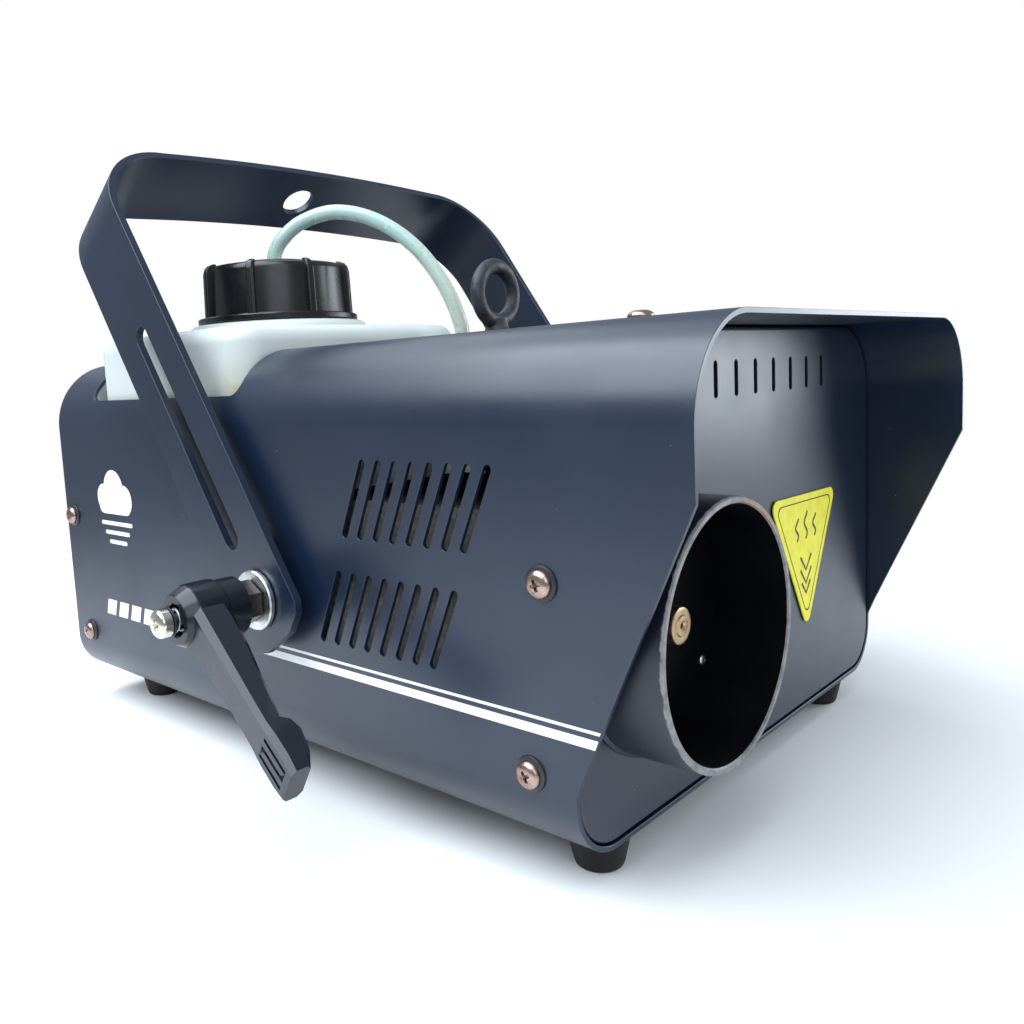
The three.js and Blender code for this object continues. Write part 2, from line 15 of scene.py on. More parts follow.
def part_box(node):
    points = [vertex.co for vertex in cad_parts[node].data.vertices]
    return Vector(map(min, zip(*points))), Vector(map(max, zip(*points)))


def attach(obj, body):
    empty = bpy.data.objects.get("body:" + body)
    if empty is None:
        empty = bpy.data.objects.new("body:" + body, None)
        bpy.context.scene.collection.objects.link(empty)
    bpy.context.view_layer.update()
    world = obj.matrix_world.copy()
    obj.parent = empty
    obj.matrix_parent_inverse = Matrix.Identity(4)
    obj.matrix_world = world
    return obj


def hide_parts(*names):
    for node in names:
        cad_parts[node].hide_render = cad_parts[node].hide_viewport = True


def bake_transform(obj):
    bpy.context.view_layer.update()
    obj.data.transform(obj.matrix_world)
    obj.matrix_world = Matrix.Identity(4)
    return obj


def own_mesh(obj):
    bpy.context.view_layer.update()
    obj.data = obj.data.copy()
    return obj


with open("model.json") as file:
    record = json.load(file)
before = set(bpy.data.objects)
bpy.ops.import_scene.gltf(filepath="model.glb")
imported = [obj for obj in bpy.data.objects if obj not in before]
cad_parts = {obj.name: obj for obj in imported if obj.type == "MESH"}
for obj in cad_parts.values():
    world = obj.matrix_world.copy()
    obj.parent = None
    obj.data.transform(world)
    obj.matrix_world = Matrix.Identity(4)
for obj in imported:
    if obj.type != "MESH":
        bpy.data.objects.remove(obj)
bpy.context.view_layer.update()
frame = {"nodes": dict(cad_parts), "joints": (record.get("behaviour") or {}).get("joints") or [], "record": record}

MM = 0.001
TAU = 2 * math.pi

# Driving dimensions of the body, in millimetres
HALF_W = 110.0
LENGTH = 328.0
TOP = 139.0
BOTTOM = -8.5
SHEET = 1.5
TOP_R = 28.6
BELLY_R = 19.0
HOOD_EDGE_Z = 96.0
PANEL_Y = 36.0
REAR_Y = 325.0
ARC = 20

OUTLET_X, OUTLET_Z = -68.0, 51.3
OUTLET_R, OUTLET_WALL, OUTLET_RIM_Y = 38.3, 2.1, 11.7
CAP_X, CAP_Y = -43.0, 240.5
GROMMET_X, GROMMET_Y = 4.0, 171.0
TANK_FLOOR, TANK_TOP = 74.0, 150.0
YOKE_LEAN = 34.3
YOKE_REACH, YOKE_X, YOKE_T, YOKE_W, YOKE_R, YOKE_BOW = 198.85, 118.5, 3.0, 37.0, 35.0, 3.3
SLOT_LOW, SLOT_HIGH, SLOT_R = 24.6, 114.4, 4.2
LEVER_DROP = 29.8
HOSE_R = 3.2
REMOTE_X, REMOTE_Z = 66.0, 117.0
PRINT_GAP, PRINT_THICK = 0.02, 0.05

cover_low, cover_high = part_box("cover")
SHIFT = Vector((0.0, cover_low.y / MM, cover_high.z / MM - TOP))
pivot_joint = next(j for j in frame["joints"] if j["name"] == "yoke_tilt")
PIVOT = Vector(pivot_joint["pos_m"]) / MM - SHIFT
BODY_OF = {n: b for b, ns in frame["record"]["behaviour"]["bodies"].items() for n in ns}
SLOT_OF = {s["node"]: s["material_slot"] for s in frame["record"]["subparts"]}


# ---------------- solids

def linked(name, data):
    obj = bpy.data.objects.new(name, data)
    bpy.context.scene.collection.objects.link(obj)
    return obj


def new_object(name, verts, faces):
    mesh = bpy.data.meshes.new(name)
    mesh.from_pydata([tuple(v) for v in verts], [], faces)
    obj = linked(name, mesh)
    bm = bmesh.new()
    bm.from_mesh(mesh)
    bmesh.ops.recalc_face_normals(bm, faces=bm.faces)
    bm.to_mesh(mesh)
    bm.free()
    return obj


def loft(name, rings):
    """A closed solid through rings of equally many points, with flat ends."""
    count = len(rings[0])
    verts = [p for ring in rings for p in ring]
    faces = [tuple(range(count))]
    for k in range(len(rings) - 1):
        a, b = k * count, (k + 1) * count
        for i in range(count):
            j = (i + 1) % count
            faces.append((a + i, a + j, b + j, b + i))
    faces.append(tuple(range(len(verts) - count, len(verts))))
    return new_object(name, verts, faces)


def prism_x(name, outline, x0, x1):
    return loft(name, [[(x, y, z) for y, z in outline] for x in (x0, x1)])


def prism_y(name, outline, y0, y1):
    return loft(name, [[(x, y, z) for x, z in outline] for y in (y0, y1)])


def prism_z(name, outline, z0, z1):
    return loft(name, [[(x, y, z) for x, y in outline] for z in (z0, z1)])


def block(name, x0, x1, y0, y1, z0, z1):
    return prism_z(name, [(x0, y0), (x1, y0), (x1, y1), (x0, y1)], z0, z1)


def circle(radius, count):
    return [(radius * math.cos(TAU * k / count), radius * math.sin(TAU * k / count)) for k in range(count)]


def lathe(name, profile, segments=64):
    """A turned solid about Z. A profile of [radius, height] closes on the axis or on itself."""
    verts, faces, rows = [], [], []
    looped = profile[0] == profile[-1]
    points = profile[:-1] if looped else profile
    for r, h in points:
        if r < 1e-6:
            rows.append([len(verts)] * segments)
            verts.append((0, 0, h))
        else:
            rows.append(list(range(len(verts), len(verts) + segments)))
            verts += [(x, y, h) for x, y in circle(r, segments)]
    pairs = list(zip(rows, rows[1:])) + ([(rows[-1], rows[0])] if looped else [])
    for low, high in pairs:
        for i in range(segments):
            j = (i + 1) % segments
            corners = []
            for v in (low[i], low[j], high[j], high[i]):
                if v not in corners:
                    corners.append(v)
            if len(corners) > 2:
                faces.append(tuple(corners))
    return new_object(name, verts, faces)


def rod(name, radius, h0, h1, segments=40):
    """A plain cylinder about Z."""
    return lathe(name, [(0, h0), (radius, h0), (radius, h1), (0, h1)], segments)


def moved(obj, matrix):
    obj.data.transform(matrix)
    if matrix.determinant() < 0:
        obj.data.flip_normals()
    return obj


def shifted(obj, x=0.0, y=0.0, z=0.0):
    return moved(obj, Matrix.Translation((x, y, z)))


TO_X = Matrix.Rotation(math.pi / 2, 4, "Y")
TO_Y = Matrix.Rotation(-math.pi / 2, 4, "X")


def joined(name, objects):
    """Several separate solids as one object."""
    bm = bmesh.new()
    for o in objects:
        bm.from_mesh(o.data)
    mesh = bpy.data.meshes.new(name)
    bm.to_mesh(mesh)
    bm.free()
    for o in objects:
        bpy.data.objects.remove(o)
    return linked(name, mesh)


def combined(target, tools, operation="DIFFERENCE"):
    for tool in tools:
        modifier = target.modifiers.new("combine", "BOOLEAN")
        modifier.operation = operation
        modifier.solver = "EXACT"
        modifier.object = tool
    bpy.context.view_layer.update()
    evaluated = target.evaluated_get(bpy.context.evaluated_depsgraph_get())
    mesh = bpy.data.meshes.new_from_object(evaluated)
    target.modifiers.clear()
    target.data = mesh
    for tool in tools:
        bpy.data.objects.remove(tool)
    return target


def filleted(points, radii, steps=6):
    """A polygon whose corners are rounded by arcs."""
    result = []
    count = len(points)
    for i, (point, radius) in enumerate(zip(points, radii)):
        p = Vector(point)
        if radius <= 0:
            result.append(tuple(p))
            continue
        before = (Vector(points[i - 1]) - p).normalized()
        after = (Vector(points[(i + 1) % count]) - p).normalized()
        half = before.angle(after) / 2
        reach = radius / math.tan(half)
        centre = p + (before + after).normalized() * (radius / math.sin(half))
        start, end = p + before * reach - centre, p + after * reach - centre
        sweep = start.angle_signed(end)
        for k in range(steps + 1):
            turn = Matrix.Rotation(-sweep * k / steps, 2)
            result.append(tuple(centre + turn @ start))
    return result


def capsule(a, b, radius, steps=6):
    """A slot outline with round ends, from a to b."""
    a, b = Vector(a), Vector(b)
    base = math.atan2((b - a).y, (b - a).x)
    points = []
    for centre, start in ((b, base - math.pi / 2), (a, base + math.pi / 2)):
        for k in range(steps + 1):
            angle = start + math.pi * k / steps
            points.append((centre.x + radius * math.cos(angle), centre.y + radius * math.sin(angle)))
    return points


def ribbon(points, width):
    """The outline of a line of even width through points."""
    left, right = [], []
    for i, p in enumerate(points):
        ahead = Vector(points[min(i + 1, len(points) - 1)]) - Vector(points[max(i - 1, 0)])
        side = Vector((-ahead.y, ahead.x)).normalized() * width / 2
        left.append(tuple(Vector(p) + side))
        right.append(tuple(Vector(p) - side))
    return left + right[::-1]


def quarter(x, y, radius, start, steps):
    """A quarter circle of points about (x, y), from start degrees."""
    points = []
    for k in range(steps + 1):
        angle = math.radians(start + 90 * k / steps)
        points.append((x + radius * math.cos(angle), y + radius * math.sin(angle)))
    return points


def body_outline(inset):
    """The body's rounded outline in (x, z), moved inwards by inset."""
    w, rt, rb = HALF_W - inset, TOP_R - inset, BELLY_R - inset
    top, bottom = TOP - inset, BOTTOM + inset
    corners = [
        (w - rb, bottom + rb, rb, -90), (w - rt, top - rt, rt, 0),
        (-w + rt, top - rt, rt, 90), (-w + rb, bottom + rb, rb, 180),
    ]
    return [point for corner in corners for point in quarter(*corner, ARC)]


def rounded_rect(half_x, half_y, radius):
    points = []
    for sx, sy, start in ((1, 1, 0), (-1, 1, 90), (-1, -1, 180), (1, -1, 270)):
        points += quarter(sx * (half_x - radius), sy * (half_y - radius), radius, start, 8)
    return points


def tube_along(name, points, radius, sides=10):
    """A round wire through points, as a closed mesh."""
    path = [Vector(p) for p in points]
    rings = []
    normal = None
    for i, p in enumerate(path):
        ahead = (path[min(i + 1, len(path) - 1)] - path[max(i - 1, 0)]).normalized()
        if normal is None:
            normal = ahead.orthogonal().normalized()
        normal = (normal - ahead * normal.dot(ahead)).normalized()
        other = ahead.cross(normal)
        ring = []
        for k in range(sides):
            angle = TAU * k / sides
            ring.append(p + (normal * math.cos(angle) + other * math.sin(angle)) * radius)
        rings.append(ring)
    return loft(name, rings)


def place(obj, body, look, slot, bevel=0.0, replaced=(), sharp=35.0, steps=2):
    """Finishes a piece: row frame, soft edges, even shading, material and body; the slot argument is not used."""
    obj.data.transform(Matrix.Scale(MM, 4) @ Matrix.Translation(SHIFT))
    obj.data.shade_smooth()
    obj.data.set_sharp_from_angle(angle=math.radians(sharp))
    if bevel > 0:
        modifier = obj.modifiers.new("soft edges", "BEVEL")
        modifier.width = bevel * MM
        modifier.segments = steps
        modifier.limit_method = "ANGLE"
        modifier.angle_limit = math.radians(sharp)
        modifier.miter_outer = "MITER_ARC"
    shading = obj.modifiers.new("even shading", "WEIGHTED_NORMAL")
    shading.keep_sharp = True
    obj.data.materials.clear()
    obj.data.materials.append(look)
    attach(obj, body)
    if replaced:
        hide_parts(*replaced)
    return obj


def stand_in(obj, node, look, bevel=0.0, **options):
    """A piece that shows in place of one CAD node."""
    return place(obj, BODY_OF[node], look, SLOT_OF[node], bevel, (node,), **options)


def refined(node, look, bevel=0.3):
    """A CAD node's own shape with clean faces and soft edges."""
    mesh = frame["nodes"][node].data.copy()
    bm = bmesh.new()
    bm.from_mesh(mesh)
    bmesh.ops.remove_doubles(bm, verts=bm.verts, dist=1e-6)
    bmesh.ops.dissolve_limit(bm, angle_limit=math.radians(1), verts=bm.verts, edges=bm.edges)
    bm.to_mesh(mesh)
    bm.free()
    mesh.transform(Matrix.Translation(-SHIFT) @ Matrix.Scale(1 / MM, 4))
    return stand_in(linked(node + "_fine", mesh), node, look, bevel)


# ---------------- materials

class Look:
    """A Principled material whose patterns sit in the object's own coordinates."""

    def __init__(self, name, **values):
        self.material = bpy.data.materials.new(name)
        self.material.use_nodes = True
        self.tree = self.material.node_tree
        self.shader = self.tree.nodes["Principled BSDF"]
        self.coordinates = self.tree.nodes.new("ShaderNodeTexCoord").outputs["Object"]
        for socket, value in values.items():
            self.shader.inputs[socket.replace("_", " ")].default_value = value

    def node(self, kind, **sockets):
        node = self.tree.nodes.new(kind)
        for name, value in sockets.items():
            self.feed(node.inputs[name.replace("_", " ")], value)
        return node

    def feed(self, socket, value):
        if isinstance(value, bpy.types.NodeSocket):
            self.tree.links.new(value, socket)
        else:
            socket.default_value = value

    def noise(self, scale, detail=3.0, stretch=(1, 1, 1)):
        mapping = self.node("ShaderNodeMapping", Vector=self.coordinates, Scale=stretch)
        node = self.node("ShaderNodeTexNoise", Vector=mapping.outputs[0], Scale=scale, Detail=detail)
        return node.outputs["Fac"]

    def cells(self, scale):
        node = self.node("ShaderNodeTexVoronoi", Vector=self.coordinates, Scale=scale)
        return node.outputs["Distance"]

    def ramp(self, source, stops):
        node = self.node("ShaderNodeValToRGB", Fac=source)
        elements = node.color_ramp.elements
        while len(elements) < len(stops):
            elements.new(0.5)
        for element, (position, colour) in zip(elements, stops):
            element.position = position
            element.color = (*colour, 1) if len(colour) == 3 else colour
        return node.outputs["Color"]

    def value_ramp(self, source, low, high, out_low=0.0, out_high=1.0):
        node = self.node("ShaderNodeMapRange", Value=source)
        for name, value in (("From Min", low), ("From Max", high), ("To Min", out_low), ("To Max", out_high)):
            node.inputs[name].default_value = value
        return node.outputs["Result"]

    def mix(self, factor, first, second):
        node = self.tree.nodes.new("ShaderNodeMix")
        node.data_type = "RGBA"
        self.feed(node.inputs[0], factor)
        for socket, value in ((node.inputs[6], first), (node.inputs[7], second)):
            self.feed(socket, value if isinstance(value, bpy.types.NodeSocket) else (*value, 1))
        return node.outputs[2]

    def math(self, operation, first, second):
        node = self.tree.nodes.new("ShaderNodeMath")
        node.operation = operation
        self.feed(node.inputs[0], first)
        self.feed(node.inputs[1], second)
        return node.outputs[0]

    def near(self, point, radius, soft):
        """1 near a point of the assembly, in millimetres, falling to 0 at radius + soft."""
        centre = (Vector(point) + SHIFT) * MM
        node = self.tree.nodes.new("ShaderNodeVectorMath")
        node.operation = "DISTANCE"
        self.tree.links.new(self.coordinates, node.inputs[0])
        node.inputs[1].default_value = centre
        return self.value_ramp(node.outputs["Value"], radius * MM, (radius + soft) * MM, 1.0, 0.0)

    def axis(self, index):
        node = self.node("ShaderNodeSeparateXYZ", Vector=self.coordinates)
        return node.outputs[index]

    def colour(self, socket):
        self.tree.links.new(socket, self.shader.inputs["Base Color"])

    def roughness(self, patches, smooth, rough):
        """Roughness that wanders between smooth and rough with a noise."""
        varied = self.value_ramp(self.noise(*patches), 0.3, 0.7, smooth, rough)
        self.tree.links.new(varied, self.shader.inputs["Roughness"])

    def bump(self, grain, strength, depth):
        node = self.node("ShaderNodeBump", Height=self.noise(*grain), Strength=strength, Distance=depth)
        self.tree.links.new(node.outputs[0], self.shader.inputs["Normal"])


def powder_coat():
    """Dark blue-black coat with a fine orange-peel surface and a few dust specks."""
    look = Look("powder_coat", Specular_IOR_Level=0.7)
    tone = look.ramp(look.noise(14, 3), [(0.3, (0.003, 0.010, 0.026)), (0.7, (0.005, 0.014, 0.036))])
    specks = look.value_ramp(look.cells(170), 0.025, 0.04, 1.0, 0.0)
    sparse = look.value_ramp(look.noise(60, 1), 0.63, 0.66)
    look.colour(look.mix(look.math("MULTIPLY", specks, sparse), tone, (0.3, 0.31, 0.33)))
    look.roughness((35, 4), 0.30, 0.38)
    look.bump((1100, 2), 0.14, 0.0001)
    return look.material


def outlet_coat():
    """The outlet tube's coat, worn to grey metal on its cut rim, with painted shade near its bore."""
    look = Look("outlet_coat", Specular_IOR_Level=0.6)
    rim_y = (OUTLET_RIM_Y + SHIFT.y) * MM
    ragged = look.math("MULTIPLY", look.value_ramp(look.noise(420, 4), 0.3, 0.7, -1, 1), 0.00035)
    edge = look.math("ADD", look.axis(1), ragged)
    worn = look.value_ramp(edge, rim_y + 0.0005, rim_y + 0.0009, 1.0, 0.0)
    tone = look.ramp(look.noise(60, 4), [(0.3, (0.005, 0.007, 0.016)), (0.7, (0.009, 0.011, 0.022))])
    metal = look.ramp(look.noise(300, 4), [(0.3, (0.10, 0.10, 0.11)), (0.7, (0.26, 0.25, 0.25))])
    rust_spot = look.near((-50, 12, 83), 4, 12)
    rusted = look.math("MULTIPLY", rust_spot, look.value_ramp(look.noise(500, 4), 0.4, 0.55))
    metal = look.mix(rusted, metal, (0.30, 0.13, 0.05))
    # Painted shade: the coat turns near black just outside the bore, where the tube's inside is shadowed.
    middle = (Vector((OUTLET_X, 0, OUTLET_Z)) + SHIFT) * MM
    across = look.math("SUBTRACT", look.axis(0), middle.x)
    upward = look.math("SUBTRACT", look.axis(2), middle.z)
    around = look.math("ADD", look.math("MULTIPLY", across, across), look.math("MULTIPLY", upward, upward))
    bore = ((OUTLET_R - OUTLET_WALL + 0.3) * MM) ** 2
    painted_bore_shade = look.value_ramp(around, bore, bore + 1e-5, 1.0, 0.0)
    look.colour(look.mix(worn, look.mix(painted_bore_shade, tone, (0.001, 0.001, 0.002)), metal))
    look.roughness((80, 4), 0.34, 0.5)
    look.bump((900, 3), 0.2, 0.00012)
    return look.material


def plated(name, tone, tint, rough=(0.22, 0.4), streak=(1, 1, 1), stain=(0.2, 0.17, 0.1)):
    """Plated or bare metal with fine streaks and light staining."""
    look = Look(name, Metallic=1.0)
    base = look.ramp(look.noise(260, 5, streak), [(0.3, tone), (0.7, tint)])
    spots = look.value_ramp(look.noise(520, 5), 0.6, 0.72, 0.0, 0.55)
    look.colour(look.mix(spots, base, stain))
    look.roughness((330, 4, streak), *rough)
    look.bump((1500, 3, streak), 0.12, 0.00008)
    return look.material


def plain(name, specular, tones, mottle, patches, rough, grain, bump, stops=(0.3, 0.7)):
    """Two tones, a range of roughness and a grain, each from its own noise."""
    look = Look(name, Specular_IOR_Level=specular)
    look.colour(look.ramp(look.noise(*mottle), list(zip(stops, tones))))
    look.roughness(patches, *rough)
    look.bump(grain, *bump)
    return look.material


def moulded(name, dark, light, rough=(0.24, 0.36), grain=900, strength=0.12):
    """Moulded plastic with a faint grain."""
    return plain(name, 0.5, (dark, light), (40, 4), (70, 4), rough, (grain, 3), (strength, 0.0001))


def ink(name, tone):
    """Printed ink with slightly thin patches."""
    tones = (tuple(c * 0.86 for c in tone), tone)
    return plain(
        name, 0.35, tones, (240, 5), (200, 3), (0.4, 0.55), (1300, 2), (0.15, 0.00005), (0.25, 0.6),
    )


def milky_plastic():
    """The tank's translucent plastic, with a yellowed corner beside the notch."""
    look = Look("milky_plastic", Subsurface_Weight=0.3, Subsurface_Scale=0.008, Specular_IOR_Level=0.45)
    look.shader.inputs["Subsurface Radius"].default_value = (1.0, 1.0, 0.85)
    base = look.ramp(look.noise(9, 3), [(0.3, (0.56, 0.60, 0.58)), (0.7, (0.63, 0.67, 0.65))])
    blotch = look.value_ramp(look.noise(150, 5), 0.4, 0.62)
    stained = look.math("MULTIPLY", look.near((-105, 186, 124), 2, 11), blotch)
    look.colour(look.mix(look.math("MULTIPLY", stained, 0.8), base, (0.60, 0.50, 0.22)))
    look.roughness((50, 4), 0.38, 0.5)
    look.bump((320, 3), 0.12, 0.0002)
    return look.material


def mint_tubing():
    """Pale green hose that yellows towards its lower end."""
    look = Look("mint_tubing", Subsurface_Weight=0.55, Subsurface_Scale=0.006, Coat_Weight=0.25)
    look.shader.inputs["Transmission Weight"].default_value = 0.15
    aged = look.value_ramp(look.axis(0), -0.012, 0.006)
    fresh = look.ramp(look.noise(60, 2), [(0.2, (0.50, 0.71, 0.66)), (0.8, (0.56, 0.76, 0.71))])
    look.colour(look.mix(aged, fresh, (0.62, 0.70, 0.55)))
    look.roughness((120, 3), 0.22, 0.34)
    look.bump((260, 2, (1, 1, 0.3)), 0.08, 0.0001)
    return look.material


COAT = powder_coat()
TUBE_COAT = outlet_coat()
ZINC = plated("zinc_plate", (0.50, 0.51, 0.52), (0.72, 0.72, 0.70))
NICKEL = plated("nickel_plate", (0.62, 0.58, 0.48), (0.86, 0.82, 0.72), (0.14, 0.26))
BRONZED = plated(
    "bronzed_screw", (0.30, 0.19, 0.15), (0.50, 0.37, 0.32), (0.2, 0.34), stain=(0.06, 0.03, 0.02),
)
BRASS = plated("brass", (0.48, 0.33, 0.18), (0.66, 0.50, 0.30), (0.3, 0.48), stain=(0.16, 0.1, 0.05))
COPPER = plated("copper", (0.55, 0.28, 0.16), (0.70, 0.40, 0.26))
STEEL = plated("plain_steel", (0.34, 0.35, 0.36), (0.52, 0.53, 0.54), (0.3, 0.45))
ALLOY = plated("mill_alloy", (0.50, 0.51, 0.53), (0.64, 0.65, 0.67), (0.35, 0.5), (1, 0.05, 1))
BLACK_PLASTIC = moulded("black_plastic", (0.005, 0.007, 0.012), (0.009, 0.012, 0.019), (0.2, 0.3))
CAP_PLASTIC = moulded("cap_plastic", (0.004, 0.005, 0.006), (0.009, 0.010, 0.011), (0.20, 0.32), 500, 0.2)
BLACK_ZINC = moulded("black_zinc", (0.014, 0.012, 0.014), (0.03, 0.027, 0.03), (0.3, 0.45))
MILK = milky_plastic()
MINT = mint_tubing()
CAST = plain(
    "cast_black", 0.5, ((0.012, 0.014, 0.018), (0.05, 0.055, 0.065)),
    (180, 6), (200, 4), (0.42, 0.65), (430, 5), (0.5, 0.0005), (0.35, 0.75),
)
RUBBER = plain(
    "soft_rubber", 0.3, ((0.008, 0.008, 0.009), (0.02, 0.02, 0.022)),
    (90, 4), (150, 3), (0.6, 0.8), (800, 4), (0.3, 0.00015),
)
WHITE_INK = ink("white_ink", (0.86, 0.87, 0.88))
YELLOW_INK = ink("yellow_film", (0.90, 0.82, 0.03))
BLACK_INK = ink("black_ink", (0.03, 0.03, 0.02))
# The matt near-black lining of the outlet, which paints the shade inside the tube
TUBE_SHADE = plain(
    "painted_tube_shade", 0.12, ((0.0006, 0.0008, 0.002), (0.0016, 0.002, 0.004)),
    (70, 4), (60, 4), (0.45, 0.7), (700, 3), (0.15, 0.0001),
)
BOARD = moulded("solder_mask", (0.02, 0.12, 0.05), (0.03, 0.17, 0.07))
# The heater's insulating blanket
WOOL = plain(
    "fibre", 0.2, ((0.10, 0.09, 0.08), (0.19, 0.18, 0.16)),
    (200, 6, (1, 1, 3)), (200, 3), (0.8, 0.95), (700, 6), (0.6, 0.0005),
)


# ---------------- fasteners

def cross_recess(radius, top, depth):
    """The cutter for a cross recess in a screw head that faces +Z."""
    arm = radius * 0.58
    wide, narrow = radius * 0.17, radius * 0.07
    cutters = []
    for turn in (0, math.pi / 2):
        rings = []
        for z, half, reach in ((top - depth, narrow, arm * 0.35), (top + 1, wide, arm)):
            rings.append([(-reach, -half, z), (reach, -half, z), (reach, half, z), (-reach, half, z)])
        cutters.append(moved(loft("recess", rings), Matrix.Rotation(turn, 4, "Z")))
    return cutters


def pan_screw(name, radius, height):
    """A domed screw head on z = 0 that faces +Z, with a cross recess."""
    profile = [(0, -1.0), (radius * 0.5, -1.0), (radius * 0.5, 0), (radius * 0.96, 0)]
    profile.append((radius, 0.15 * height))
    for k in range(1, 9):
        angle = math.pi / 2 * k / 8
        r = radius * math.cos(angle * 0.98) ** 0.75
        profile.append((r if k < 8 else 0, height * (0.15 + 0.85 * math.sin(angle))))
    head = lathe(name, profile, 40)
    return combined(head, cross_recess(radius, height, height * 0.75))


def cheese_screw(name, radius, height):
    """A tall screw head with straight sides and a slightly domed face."""
    profile = [(0, -1.0), (radius * 0.5, -1.0), (radius * 0.5, 0), (radius * 0.94, 0), (radius, 0.3)]
    profile += [(radius, 0.62 * height), (radius * 0.97, 0.74 * height), (radius * 0.86, 0.87 * height)]
    profile += [(radius * 0.6, 0.96 * height), (radius * 0.3, height), (0, height)]
    return combined(lathe(name, profile, 48), cross_recess(radius, height, height * 0.6))


def cover_screw(name, turn, x, y, z, angle):
    """A bronzed screw on a black dished washer; turn stands +Z out from the sheet."""
    out = Matrix.Translation((x, y, z)) @ turn
    washer = lathe(name + "_washer", [
        (2.0, 0.02), (5.0, 0.02), (5.15, 0.25), (5.0, 0.6), (4.3, 0.95), (3.6, 0.95), (2.0, 0.8), (2.0, 0.02),
    ], 40)
    place(moved(washer, out), "housing", BLACK_ZINC, "black_coat")
    head = pan_screw(name, 4.0, 2.3)
    spin = Matrix.Translation((0, 0, 0.85)) @ Matrix.Rotation(math.radians(angle), 4, "Z")
    place(moved(head, out @ spin), "housing", BRONZED, "zinc", 0.12)


def make_cover_screws():
    left = Matrix.Rotation(-math.pi / 2, 4, "Y")
    spots = [(44.9, 70.2, 20), (51.1, 15.9, 28), (320.5, 69.3, 5), (313.3, 14.7, 40)]
    for i, (y, z, angle) in enumerate(spots):
        cover_screw(f"screw_left_{i}", left, -HALF_W, y, z, angle)
        cover_screw(f"screw_right_{i}", TO_X, HALF_W, y, z, angle + 33)
    for name, x, angle in (("screw_top_left", -60, 12), ("screw_top_right", 60, 51)):
        cover_screw(name, Matrix.Identity(4), x, 43, TOP, angle)
    for i, (x, z) in enumerate([(-96, 118), (96, 118), (-96, 6), (96, 6)]):
        head = moved(pan_screw(f"screw_rear_{i}", 3.2, 1.9), Matrix.Translation((x, REAR_Y, z)) @ TO_Y)
        place(head, "housing", BRONZED, "zinc", 0.1)


# ---------------- body

def vent_cutters():
    cutters = []
    for top, bottom, first in ((101.2, 75.5, 113.8), (64.1, 38.7, 128.5)):
        for i in range(8):
            y = first - 7.38 * i
            outline = capsule((y, top - 1.3), (y + 10.2, bottom + 1.3), 1.4)
            cutters.append(prism_x("vent", outline, -HALF_W - 3, -HALF_W + 4))
            cutters.append(prism_x("vent", outline, HALF_W - 4, HALF_W + 3))
    return joined("vents", cutters)


def make_cover():
    outer = prism_y("cover_fine", body_outline(0), 0, LENGTH)
    inner = prism_y("inner", body_outline(SHEET), -2, LENGTH + 2)
    far = HALF_W + 6
    mouth = filleted(
        [(-12, HOOD_EDGE_Z), (-1, HOOD_EDGE_Z), (33.4, 19.5), (PANEL_Y, 13), (PANEL_Y, -20), (-12, -20)],
        [0, 4, 5, 3, 0, 0],
    )
    notch = filleted([(183, 122.5), (298, 122.5), (298, TOP + 6), (183, TOP + 6)], [5, 5, 0, 0])
    cutters = [
        inner,
        prism_x("mouth", mouth, -far, far),
        prism_x("notch", notch, -far, 23.5),
        block("belly", -70, 70, 62, 300, BOTTOM - 2, BOTTOM + 4),
        vent_cutters(),
    ]
    return stand_in(combined(outer, cutters), "cover", COAT, 0.3)


def pan(name, face_y, towards, depth):
    """A flanged pan with a rounded front edge; towards is the way its flange runs."""
    inset, round_edge, wall = SHEET + 0.4, 1.7, 1.2
    rings = []
    for k in range(7):
        angle = math.pi / 2 * k / 6
        lost = round_edge * (1 - math.sin(angle))
        y = face_y + towards * round_edge * (1 - math.cos(angle))
        rings.append([(x, y, z) for x, z in body_outline(inset + lost)])
    end = face_y + towards * depth
    rings.append([(x, end, z) for x, z in body_outline(inset)])
    rings.append([(x, end, z) for x, z in body_outline(inset + wall)])
    rings.append([(x, face_y + towards * SHEET, z) for x, z in body_outline(inset + wall)])
    return loft(name, rings)


def make_front_panel():
    slots = []
    for i in range(7):
        x = -28 + 14.3 * i
        slots.append(prism_y("slot", capsule((x, 115.6), (x, 125), 1.2), PANEL_Y - 3, PANEL_Y + 5))
    hole = shifted(moved(rod("hole", 8, -3, 5), TO_Y), OUTLET_X, PANEL_Y, OUTLET_Z)
    panel = combined(pan("front_panel_fine", PANEL_Y, 1, 17), [joined("slots", slots), hole])
    return stand_in(panel, "front_panel", COAT, 0.2)


def make_rear_panel():
    y0, y1 = REAR_Y - 5, REAR_Y + 3
    openings = []
    for i in range(9):
        x = -86 + 11 * i
        openings.append(prism_y("slot", capsule((x, 21.6), (x, 54.4), 1.6), y0, y1))
    openings += [
        block("inlet_hole", 52, 80, y0, y1, 7, 53),
        block("switch_hole", 52, 80, y0, y1, 73.5, 94.5),
        shifted(moved(rod("remote_hole", 11.5, -6, 4), TO_Y), REMOTE_X, REAR_Y, REMOTE_Z),
    ]
    panel = combined(pan("rear_panel_fine", REAR_Y, -1, 18), [joined("openings", openings)])
    return stand_in(panel, "rear_panel", COAT, 0.2)


def make_feet():
    profile = [
        (0, 0.9), (2.6, 0.9), (2.8, 0), (6.6, 0), (7.3, 0.5), (7.8, 2), (9.9, 11.4), (9.9, 11.7), (0, 11.7),
    ]
    for node in ("foot_fl", "foot_fr", "foot_rl", "foot_rr"):
        low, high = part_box(node)
        centre = (low + high) / 2 / MM - SHIFT
        foot = shifted(lathe(node + "_fine", profile, 48), centre.x, centre.y, low.z / MM - SHIFT.z)
        stand_in(foot, node, RUBBER, 0.25)


# ---------------- outlet and label

